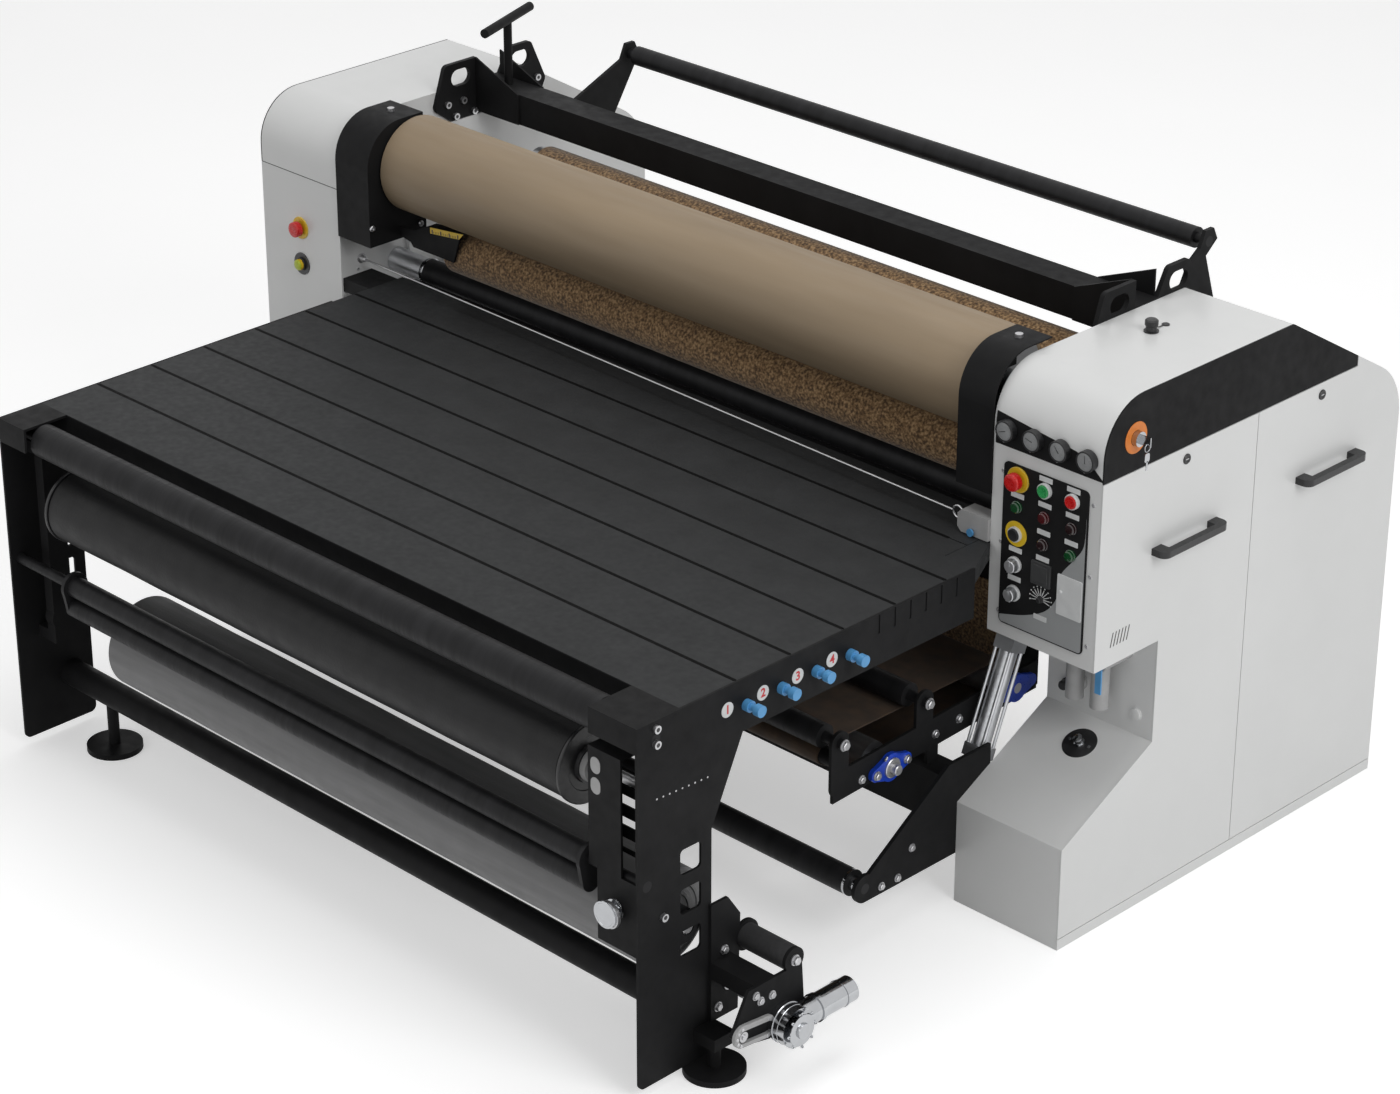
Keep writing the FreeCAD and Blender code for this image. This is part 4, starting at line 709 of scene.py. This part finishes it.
def gauge_strip():
    """Black strip that follows the hood's round front, four gauges on it and the box's screws."""
    left, knee, right = 1090.0, 1302.0, 1384.0
    bottom, top_left, fall, tip = 1111.0, 1185.0, 24.0, 4
    rings = []
    columns, rows, skin = 24, 10, 0.8
    for k in range(columns + 1):
        x = left + (right - left) * k / columns
        top = top_left - fall * min(1.0, (x - left) / (knee - left))
        if x > knee:
            top -= (top - bottom - tip) * ((x - knee) / (right - knee)) ** 1.6
        heights = [bottom + (top - bottom) * j / rows for j in range(rows + 1)]
        rings.append([(x, hood_front(z) - skin, z) for z in heights]
                     + [(x, hood_front(z) + skin, z) for z in reversed(heights)])
    Shape().skin(rings).done("gauge_strip", "black_paint")
    gauge_face, gauge_z = 64.0, 1152.0
    first_gauge, gauge_pitch = 1125.0, 74.0
    bezel_foot, screw_foot = 79.0, 79.4
    first_angle, angle_step = 200, 35
    bezel = Shape()
    glass = Shape()
    needle = Shape()
    screws = Shape()
    for k in range(4):
        x = first_gauge + gauge_pitch * k
        ring(bezel, (x, bezel_foot, gauge_z), to_front, 20.8, 24.0, 17.5)
        pane = [(0, 20.7), (1.2, 20.7), (1.7, 19.0), (1.8, 1)]
        glass.lathe((x, gauge_face + 0.6, gauge_z), to_front, pane, 40)
        pointer = [(-4, -0.9), (15, -0.3), (15, 0.3), (-4, 0.9)]
        outline = turned(x, gauge_z, math.radians(first_angle - angle_step * k), pointer)
        needle.prism(outline, "Y", gauge_face - 1.6, gauge_face - 1.0)
        screw_head(screws, (x - 12, screw_foot, 1122), to_front, 4.0, 2.4)
    bezel.done("gauge_bezels", "black_plastic")
    glass.done("gauge_glass", "grey_plastic", extra["gauge_glass"])
    needle.done("gauge_needles", "black_plastic")
    for x in (1115.0, 1364.0):
        for z in (1052.0, 884.0, 718.0):
            screw_head(screws, (x, cabinet_front, z), to_front, 5.0, 2.4)
    screws.done("box_screws", "steel")


def side_fittings():
    """Key plate, hanging key, locks and painted shade of the vent slits on the right side."""
    side = span("side_panels")[1].x
    y, z = 181.0, 1184.0
    tag = Shape()
    ring(tag, (side, y, z), to_right, 17.6, 36.0, 1.4, 48)
    tag.done("key_plate", "yellow_plastic", extra["orange_tag"])
    hang = span("key_switch")[1].x - 8
    loop_radius, loop_drop, loop_steps, half = 9, 14, 20, 1
    loop = [(hang, y + loop_radius * math.sin(t), z - loop_drop + loop_radius * math.cos(t))
            for t in (2 * math.pi * k / loop_steps for k in range(loop_steps + 1))]
    keys = Shape().tube(loop, 0.9, 8)
    keys.prism(round_rect(y - 8, y + 8, z - 47, z - 26, 6), "X", hang - half, hang + half)
    keys.prism(round_rect(y - 2.6, y + 2.6, z - 66, z - 44, 1.2), "X", hang - half, hang + half)
    keys.done("hanging_key", "chrome", bevel=0.3, body="key_switch")
    lock_z = 1076.0
    barrel = [(0, 12), (2, 12), (3.4, 10.5), (3.4, 7), (2.4, 6.4), (2.4, 1)]
    for node, depth in (("front_door", 362.0), ("rear_door", 846.0)):
        face = span(node)[1].x
        lock = Shape().lathe((face, depth, lock_z), to_right, barrel, 32)
        lock.done(node + "_lock", "black_plastic", body=node)
        slot = Shape().block((face + 2.2, depth - 5, lock_z - 1.2), (face + 3.0, depth + 5, lock_z + 1.2))
        slot.done(node + "_lock_slot", "steel", bevel=0.2, body=node)
    # Painted shade: flat black strips, nearly flush with the door, stand for the dark hollows of its vent
    # slits
    slits = Shape()
    door_face = span("front_door")[1].x
    first, pitch, bottom, top, wide, lean = 130.0, 11.0, 704.0, 738.0, 3.2, 8.0
    for k in range(6):
        start = first + pitch * k
        points = [(start, bottom), (start + wide, bottom), (start + wide + lean, top), (start + lean, top)]
        slits.prism(points, "X", door_face - 0.4, door_face + 0.25)
    slits.done("painted_vent_slit_shade", "black_plastic", body="front_door")


def hood_plug():
    """Plug with its small cap and lead on top of the right hood."""
    top = span("hoods")[1].z
    body = [(0, 17), (3, 17), (4, 13), (14, 12), (16, 15), (26, 15), (29, 12), (30, 5), (30, 1)]
    plug = Shape().lathe((1191.0, 469.0, top), upward, body, 32)
    plug.lathe((1190.0, 521.0, top), upward, [(0, 9), (2, 9), (3, 7.5), (3, 1)], 24)
    lead = [(1191, 482, top + 8), (1191, 494, top + 3), (1190, 508, top + 2), (1190, 519, top + 2)]
    plug.tube(lead, 1.4, 8)
    plug.done("hood_plug", "black_plastic")


def slope_valve():
    """Round black plate with a silver knob on the cabinet's sloping foot."""
    slope, foot, depth, thick = 0.51, 255, 232.0, 1.6
    aim = Vector((0, -slope, 1)).normalized()
    centre = Vector((1238.6, depth, foot + slope * depth))
    plate = Shape().lathe(centre, aim, [(0, 41), (1.0, 41), (thick, 40), (thick, 1)], 48)
    plate.done("slope_plate", "black_plastic")
    grip = [(0, 13), (3, 13), (4, 10), (13, 9.5), (16, 11.5), (19, 11), (20, 8), (20, 1)]
    knob = Shape().lathe(centre + aim * thick, aim, grip, 28)
    for way in (-1, 1):
        mark = centre + Vector((way * 27, 0, 0)) + aim * thick
        knob.lathe(mark, aim, [(0, 5), (0.4, 5), (0.4, 1)], 4)
    knob.done("slope_knob", "chrome")


def recess_fittings():
    """Disc, plug and button on the back wall of the service recess."""
    wall = 300.0
    for name, x, z, radius, height, slot in (("recess_disc", 1178, 484, 19, 10, "grey_plastic"),
                                             ("recess_plug", 1142, 463, 12, 22, "black_plastic"),
                                             ("recess_button", 1338, 460, 14, 6, "white_paint")):
        flange = radius * 1.15
        profile = [(0, flange), (height * 0.2, flange), (height * 0.3, radius),
                   (height * 0.85, radius * 0.95), (height, radius * 0.75), (height, 1)]
        Shape().lathe((x, wall, z), to_front, profile, 32).done(name, slot)


def left_cabinet_fittings():
    """Eye and small screws where the pull wire leaves the left cabinet."""
    side = -cabinet_inside
    collar = [(0, 13), (3, 13), (4, 9), (16, 7), (18, 5), (18, 2.8)]
    eye = Shape().lathe((side, 147, 905), to_right, collar, 28)
    for y, z in ((135, 878), (154, 860)):
        screw_head(eye, (side, y, z), to_right, 4.0, 2.2)
    eye.done("wire_eye", "steel")
    hood_low = span("hoods")[0].z
    proud, half = 0.6, 0.8
    seam = Shape().block((-1384, cabinet_front - proud, hood_low - half),
                         (-1088, cabinet_front + proud, hood_low + half))
    seam.done("left_hood_seam", "grey_paint", bevel=0.3)


gauge_strip()
side_fittings()
hood_plug()
slope_valve()
recess_fittings()
left_cabinet_fittings()


# Table: numbered tags, painted groove shade strips, leg screws and the hand knob
def numbered_tags():
    """Round white tags with red numerals beside the blue knobs."""
    depths = (-798.0, -695.0, -592.0, -489.0)
    height = 818
    tags = Shape()
    for y in depths:
        tags.lathe((table_side, y, height), to_right, [(0, 17), (0.8, 17), (1.2, 16.2), (1.2, 1)], 36)
    tags.done("knob_tags", "white_paint", extra["label_white"])
    quarter = math.pi / 2
    for k, y in enumerate(depths):
        words = bpy.data.curves.new("numeral", "FONT")
        words.body = str(k + 1)
        words.size = 28 * milli
        words.offset = 0.7 * milli
        words.extrude = 0.2 * milli
        words.align_x = "CENTER"
        words.align_y = "CENTER"
        holder = bpy.data.objects.new("numeral", words)
        data = bpy.data.meshes.new_from_object(holder)
        bpy.data.objects.remove(holder)
        data.transform(Matrix.Rotation(quarter, 4, "Z") @ Matrix.Rotation(quarter, 4, "X"))
        data.transform(Matrix.Translation(row(table_side + 1.3, y, height)))
        data.materials.clear()
        data.materials.append(extra["numeral_red"])
        numeral = placed(f"tag_numeral_{k + 1}", data)
        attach(numeral, "root")


def groove_shade_strips():
    """Dull near-black strips over the table's seams: painted shade in the grooves."""
    low, high = span("table_top")
    # Painted shade: flat dark strips laid over the seams in place of the grooves' own shade
    shade_bars = Shape()
    seams, width, half, inset = 6, 4.0, 4.5, 2
    wide_end, narrow_right = -100, 1010.0
    pitch = (table_back - table_front) / (seams + 1)
    for k in range(seams):
        y = table_front + (k + 1) * pitch + width / 2
        right = high.x if y < wide_end else narrow_right
        shade_bars.block((low.x + inset, y - half, high.z - 0.4), (right - inset, y + half, high.z + 0.3))
    shade_bars.done("groove_shade_strips", "rubber", extra["seam_black"])


def leg_details():
    """Rivets, screw sockets, hand knob and cover plugs of the right leg and its column."""
    dots = Shape()
    for k in range(9):
        place = (table_side, -998.0 + 18.0 * k, 692 - 0.9 * k)
        dots.lathe(place, to_right, [(0, 2.2), (0.3, 2.2), (0.3, 0.5)], 10)
    dots.done("leg_rivets", "steel")
    screw_top = table_side + 8
    side_sockets("leg_sockets", screw_top, ((-1001, 853.7), (-1001, 819), (-982, 412)), 5.2)
    x, y, z = 1074.0, -1073.0, 425.0
    knob_face = [(0, 30.4), (3, 31), (5, 30), (5, 26), (4, 25), (4, 1)]
    hand = Shape().lathe((x, y, z), to_front, knob_face, 40)
    hand.lathe((x, y + 8, z), to_back, [(0, 14), (3, 12), (12, 12), (15, 24), (18, 25), (18, 9)], 36)
    hand.done("hand_knob_dress", "chrome")
    plugs = Shape()
    cover = -1046.0
    for z in (738.0, 691.0):
        plugs.prism(round_rect(1006, 1034, z - 19, z + 19, 13.9), "Y", cover - 0.6, cover + 0.4)
    plugs.done("cover_plugs", "grey_plastic", bevel=0.3)


def front_apron():
    """Bent-down front edge of the table, behind the guide roller."""
    low, high = span("table_top")
    apron = Shape().block((low.x + 14, table_front - 0.4, high.z - 78), (1000, table_front + 2.4, high.z - 2))
    apron.done("table_apron", "black_paint", bevel=0.6)


numbered_tags()
front_apron()
groove_shade_strips()
leg_details()


# Conveyor, unwinding station and drum details
def conveyor_bolts():
    """Bolts, shaft end and bearing insert on the conveyor's right side."""
    rail = 1004.0
    bolts = Shape()
    for node in ("pinch_roller_front", "pinch_roller_rear"):
        hex_heads(bolts, span(node)[1].x, [axis_of(node)], 11.0, 10.0)
    hex_heads(bolts, rail, ((-230, 372), (11, 392), (90, 400)), 8.5, 8.0)
    hex_heads(bolts, cabinet_inside, ((-248, 143), (-195, 142), (-150, 200)), 8.0, 7.0)
    y, z = axis_of("conveyor_front_roller")
    bearing = span("flange_bearings")[1].x
    hex_heads(bolts, bearing, ((y - 49, z - 2), (y + 49, z + 2)), 9.0, 9.0)
    bolts.lathe((bearing, y, z), to_right, [(0, 12.3), (20, 12.3), (22, 10.5), (22, 1)], 24)
    bolts.done("conveyor_bolts", "steel")
    insert = Shape()
    ring(insert, (bearing, y, z), to_right, 12.6, 24.0, 6.0, 32)
    nipple = [(0, 3.4), (6, 3.4), (8, 2), (11, 2.6), (12, 1)]
    insert.lathe((bearing, y - 22, z + 26), (0.5, 0, 1), nipple, 12)
    insert.done("bearing_inserts", "steel")


def idler_dress():
    """Chrome sleeve and collar at each end of the idler."""
    y, z = axis_of("idler_roller")
    sleeve = Shape()
    end = 1040.0
    profile = [(0, 30.5), (3, 31.5), (8, 31.5), (10, 18), (24, 18), (26, 14)]
    for way in (1, -1):
        sleeve.lathe((way * end, y, z), (way, 0, 0), profile, 32)
    sleeve.done("idler_sleeves", "chrome", body="idler_roller")


def chain_cover():
    """Pale slotted chain guard on the outer plate of the unwinding station."""
    face = station_face
    y0, z0, y1, z1 = -903.0, 156.0, -832.0, 148.0

    def stadium(radius, steps=12):
        """Outline of two half circles joined by straight sides."""
        slope = math.atan2(z1 - z0, y1 - y0)
        points = []
        for y, z, start in ((y1, z1, slope - math.pi / 2), (y0, z0, slope + math.pi / 2)):
            for k in range(steps + 1):
                t = start + math.pi * k / steps
                points.append((y + radius * math.cos(t), z + radius * math.sin(t)))
        return points

    layers = ((0, 26), (8, 26), (10, 24), (10, 15), (1, 15))
    rings = [[(face + out, y, z) for y, z in stadium(radius)] for out, radius in layers]
    guard = Shape().skin(rings, caps=False)
    guard.done("chain_guard", "grey_plastic")
    chain = Shape()
    for y, z in stadium(20, 10)[::2]:
        chain.lathe((face + 3, y, z), to_right, [(0, 4.2), (8, 4.2), (8.6, 3.4), (8.6, 1)], 10)
    chain.lathe((face, y0, z0), to_right, [(0, 12), (9, 12), (9, 6), (12, 6), (12, 1)], 20)
    chain.done("chain_links", "steel")


def station_dress():
    """Bolts, gear motor details and roller collars of the unwinding station."""
    bolts = Shape()
    roller = axis_of("unwind_roller")
    hex_heads(bolts, station_face, [roller], 10.0, 12.0)
    hex_heads(bolts, station_face, ((-812, 214), (-846, 214), (-860, 232)), 8.0, 7.0)
    inner_plate = 1155.0
    hex_heads(bolts, inner_plate, ((-812, 262), (-830, 130)), 9.0, 8.0)
    spacer = [(0, 14), (4, 14), (5, 10), (40, 10), (42, 15), (58, 15), (60, 12), (60, 1)]
    bolts.lathe((inner_plate, -800, 175), to_right, spacer, 28)
    bolts.done("station_bolts", "steel")
    gear = Shape()
    gear_x, gear_y, gear_z = span("unwind_gearmotor")[1].x, -782.0, 140.0
    for k in range(3):
        ring(gear, (station_face + 10 + 13 * k, gear_y, gear_z), to_right, 44.0, 47.0 - k, 7.0, 48)
    cover = [(0, 36), (2, 36), (3, 30), (3, 18), (8, 17), (9, 14), (9, 1)]
    gear.lathe((gear_x, gear_y, gear_z), to_right, cover, 40)
    screws, circle = 8, 40
    for k in range(screws):
        t = 2 * math.pi * k / screws
        place = (gear_x, gear_y + circle * math.cos(t), gear_z + circle * math.sin(t))
        screw_head(gear, place, to_right, 3.6, 3.5)
    motor_x, motor_z = station_face + 29.0, 150.0
    ring(gear, (motor_x, -716.0, motor_z), to_back, 28.5, 32.0, 10.0)
    ring(gear, (motor_x, -640.0, motor_z), to_back, 28.5, 30.5, 5.0)
    gear.lathe((motor_x, -608.0, motor_z), to_back, [(0, 27), (2, 26), (3, 20), (3, 1)], 36)
    gear.done("gearmotor_dress", "chrome")
    rims = Shape()
    for x, way in ((1163.0, 1), (1277.0, -1)):
        ring(rims, (x, *roller), (way, 0, 0), 12.6, 26.0, 7.0, 32)
    rims.done("unwind_collars", "aluminium", body="unwind_roller")


def drum_dress():
    """Housing screws, feed roller sleeves and collars, and the scale strip on its holder."""
    bolts = Shape()
    left_housing = -961.0
    for y, z in ((83, 1036), (243, 1007)):
        screw_head(bolts, (left_housing, y, z), to_right, 8.0, 5.0)
    bolts.done("housing_screws", "steel")
    y, z = axis_of("feed_roller")
    wall, bare = 1084.0, 31.6
    sleeve = Shape()
    rings = Shape()
    steps = [(-8, 31.5), (-7, 34), (-5, 34), (-4, 32), (-1, 32), (0, 35.5), (4, 35.5), (5, 34.2)]
    for way, collar in ((-1, 957.0), (1, 966.0)):
        aim = (-way, 0, 0)
        sleeve.lathe((way * wall, y, z), aim, [(0, 32), (4, 32), (5, bare), (wall - collar - 6, bare)], 40)
        rings.lathe((way * collar, y, z), aim, steps, 40)
    sleeve.done("feed_roller_sleeves", "aluminium", body="feed_roller")
    rings.done("feed_roller_collars", "chrome", body="feed_roller")
    front, back = 175.0, 181.0
    outline = [(-961, 992), (-923, 985), (-914, 974), (-761, 974), (-737, 1044), (-720, 1062),
               (-854, 1047), (-905, 1022), (-961, 1016)]
    holder = Shape().prism(outline, "Y", front, back)
    holder.prism([(-854, 1041), (-723, 1056), (-720, 1062), (-854, 1047)], "Y", front, back + 22)
    holder.done("scale_holder", "black_paint", bevel=1.0)
    outline = [(-846, 1030), (-738, 1043), (-721.5, 1060.5), (-846, 1046)]
    strip = Shape().prism(outline, "Y", front - 0.8, front + 0.3)
    strip.done("scale_strip", "yellow_plastic")
    marks = Shape()
    first, pitch, slope = -840.0, 6.4, 13 / 108
    for k in range(16):
        x = first + pitch * k
        base = 1031.0 + (x + 846) * slope
        tall, wide = (10.0, 4.0) if k % 5 == 0 else (6.0, 1.2)
        marks.block((x, front - 1.2, base), (x + wide, front - 0.7, base + tall))
    marks.done("scale_marks", "black_plastic")


def rear_trim():
    """Plate from the table's back edge to the feed roller, the table's rear corner, and the guard's felt."""
    plate = Shape().prism([(188, 868), (232, 855), (232, 851), (188, 864)], "X", -970, 985)
    plate.done("feed_guide_plate", "black_paint", bevel=0.5)
    corner = Shape().prism([(1061, -39.5), (1146, -39.5), (1088, 76), (1061, 76)], "Z", 831, 871)
    corner.done("table_corner", "grey_paint", bevel=1.0)
    facing = Shape().block((-880, 355.5, 390), (945, 359.8, 598))
    facing.done("rear_guard_felt", "felt")


def beam_bolts():
    """Hexagon sockets in the bolts of the beam's left end."""
    places = ((441, 1246), (495, 1246), (531, 1209), (468, 1209), (753, 1246))
    left_end = -1065
    side_sockets("beam_sockets", left_end, places, 5.0)


conveyor_bolts()
idler_dress()
chain_cover()
station_dress()
drum_dress()
rear_trim()
beam_bolts()


# Pale floor, soft studio light and the camera at the photograph's viewing angle
def seen_share(tree, unseen, seen):
    """One strength for light, another where the camera, a mirror or glass shows the background."""
    path = new_node(tree, "LightPath")
    total = path.outputs["Is Camera Ray"]
    for kind in ("Is Glossy Ray", "Is Transmission Ray"):
        add = new_node(tree, "Math")
        add.operation = "MAXIMUM"
        link(tree, total, add.inputs[0])
        link(tree, path.outputs[kind], add.inputs[1])
        total = add.outputs["Value"]
    strength = new_node(tree, "MapRange", {"To Min": unseen, "To Max": seen})
    link(tree, total, strength.inputs["Value"])
    return strength.outputs["Result"]


def studio():
    """Floor, backdrop and three area lamps."""
    half = 16.0
    mesh = bpy.data.meshes.new("floor")
    corners = [(-half, -half, 0), (half, -half, 0), (half, half, 0), (-half, half, 0)]
    mesh.from_pydata(corners, [], [(0, 1, 2, 3)])
    floor = placed("floor", mesh)
    cover = finish("floor", (0.84, 0.84, 0.84), 0.01, (0.7, 0.8), 300.0, 0.0001, 0.05, 0.8)
    tree = cover.node_tree
    shader = tree.nodes["Principled BSDF"]
    pure_white = (1, 1, 1, 1)
    set_inputs(shader, {"Specular IOR Level": 0.1, "Emission Color": pure_white})
    link(tree, seen_share(tree, 0.0, 0.45), shader.inputs["Emission Strength"])
    mesh.materials.append(cover)
    world = bpy.data.worlds.new("studio")
    world.use_nodes = True
    backdrop = world.node_tree.nodes["Background"]
    set_inputs(backdrop, {"Color": pure_white})
    link(world.node_tree, seen_share(world.node_tree, 0.36, 1.0), backdrop.inputs["Strength"])
    bpy.context.scene.world = world
    aim_at = Vector((0.0, 0.0, 0.7))
    for name, place, size, power in (("key", (7.0, -0.5, 5.0), 4.0, 200.0),
                                     ("front", (-0.5, -7.0, 4.0), 4.0, 42.0),
                                     ("top", (0.0, 0.5, 7.5), 5.0, 158.0)):
        lamp = bpy.data.lights.new(name, "AREA")
        lamp.size = size
        lamp.energy = power
        holder = placed(name, lamp)
        holder.location = place
        holder.rotation_euler = (aim_at - Vector(place)).to_track_quat("-Z", "Y").to_euler()


def photo_camera():
    """Camera solved from the photograph's parallel edges."""
    data = bpy.data.cameras.new("camera")
    data.lens = 96.84
    data.sensor_width = 36.0
    data.shift_x = 0.0101
    data.shift_y = -0.0372
    data.clip_end = 60.0
    camera = placed("camera", data)
    camera.location = (5.7939, -5.6256, 4.45)
    camera.rotation_euler = Vector((-0.63953, 0.63953, -0.42663)).to_track_quat("-Z", "Y").to_euler()
    bpy.context.scene.camera = camera


studio()
photo_camera()
bpy.context.scene.view_settings.view_transform = "Standard"
